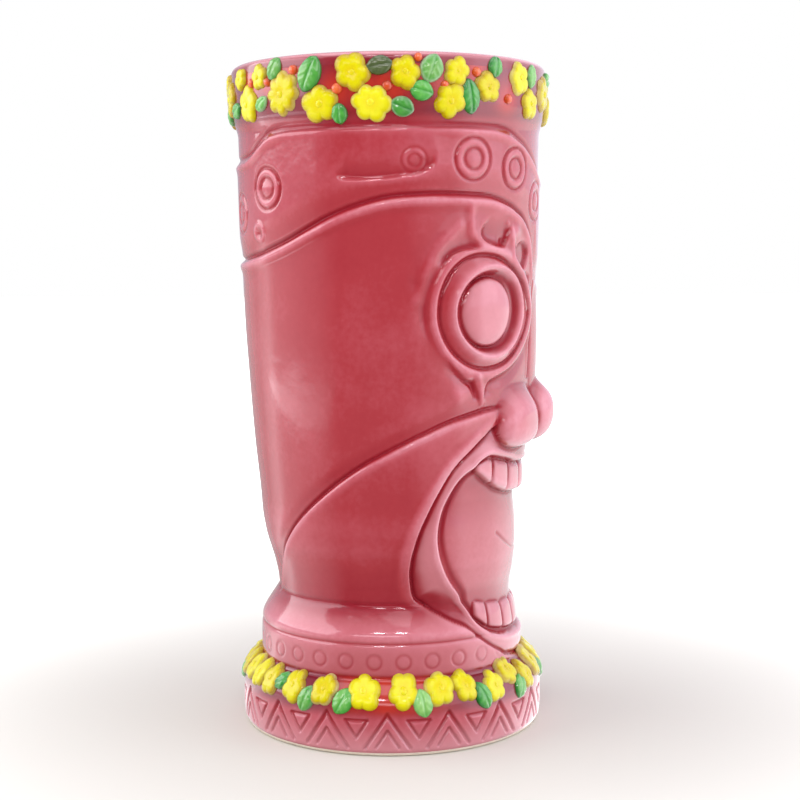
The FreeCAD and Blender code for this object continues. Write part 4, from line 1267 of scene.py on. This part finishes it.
ground = {
    "size": 8.0, "near": (218, 217, 208), "far": (255, 255, 250), "glowFrom": 0.05, "glowTo": 0.3,
    # how bright the floor glows where only the glaze mirrors it, painted light and shade of the table round
    # about: (degrees from +X towards +Y, brightness)
    "mirrored": [(0, 0.5), (30, 0.5), (58, 0.7), (76, 1.8), (86, 1.15), (104, 1.05), (128, 0.6),
                 (145, 0.1), (198, 0.1), (218, 0.6), (234, 0.9), (250, 2.3), (300, 1.9), (330, 1.1),
                 (360, 1.1)],
    # a painted pool of light on the table, glowing only in the glaze: it lies where a x + b y + c > 0 for all
    # of these
    "lightPool": [(-0.79, 1.0, -0.439), (1.0, -1.0, 0.67), (0.21, -1.0, 0.56), (0.29, 1.0, -0.18)],
    "lightPoolGlow": 1.5, "mirrorTint": (1, 0.97, 0.99), "roughness": 0.6, "shine": 0.2,
}


def makeFloor():
    # white paper that glows by itself further out, so that it runs into the white of the room
    half = ground["size"] / 2
    mesh = bpy.data.meshes.new("floor")
    corners = [(-half, -half, 0), (half, -half, 0), (half, half, 0), (-half, half, 0)]
    mesh.from_pydata(corners, [], [(0, 1, 2, 3)])
    material = bpy.data.materials.new("paper")
    material.use_nodes = True
    tree = material.node_tree
    place = added(tree, "ShaderNodeTexCoord", {}).outputs["Object"]
    reach = added(tree, "ShaderNodeVectorMath", {0: place}, operation="LENGTH").outputs["Value"]
    spread = {"Value": reach, "From Min": ground["glowFrom"], "From Max": ground["glowTo"]}
    away = added(tree, "ShaderNodeMapRange", spread, interpolation_type="SMOOTHSTEP").outputs["Result"]
    colour = ramped(tree, away, [(0, linear(ground["near"])), (1, linear(ground["far"]))])
    mirrored = compassRamp(tree, place, ground["mirrored"], ground["mirrorTint"])
    lightPool = 1
    for a, b, c in ground["lightPool"]:
        over = added(tree, "ShaderNodeVectorMath", {0: place, 1: (a, b, 0)}, operation="DOT_PRODUCT")
        lightPool = maths(tree, "MULTIPLY", lightPool, maths(tree, "GREATER_THAN", over.outputs["Value"], -c))
    lit = maths(tree, "MULTIPLY_ADD", lightPool, ground["lightPoolGlow"], 1)
    # seen in the glaze the floor is black and glows instead, with painted light and shade of the table and
    # the painted pool of light
    path = added(tree, "ShaderNodeLightPath", {})
    glossy, seen = path.outputs["Is Glossy Ray"], path.outputs["Is Camera Ray"]
    fill(tree, tree.nodes["Principled BSDF"], {
        "Base Color": mixed(tree, glossy, colour, (0, 0, 0, 1)),
        "Emission Color": mixed(tree, glossy, colour, mirrored),
        "Emission Strength": mixed(tree, glossy, maths(tree, "MULTIPLY", away, seen), lit, "FLOAT"),
        "Roughness": ground["roughness"], "Specular IOR Level": ground["shine"],
    })
    mesh.materials.append(material)
    floor = bpy.data.objects.new("floor", mesh)
    bpy.context.scene.collection.objects.link(floor)


makeFloor()
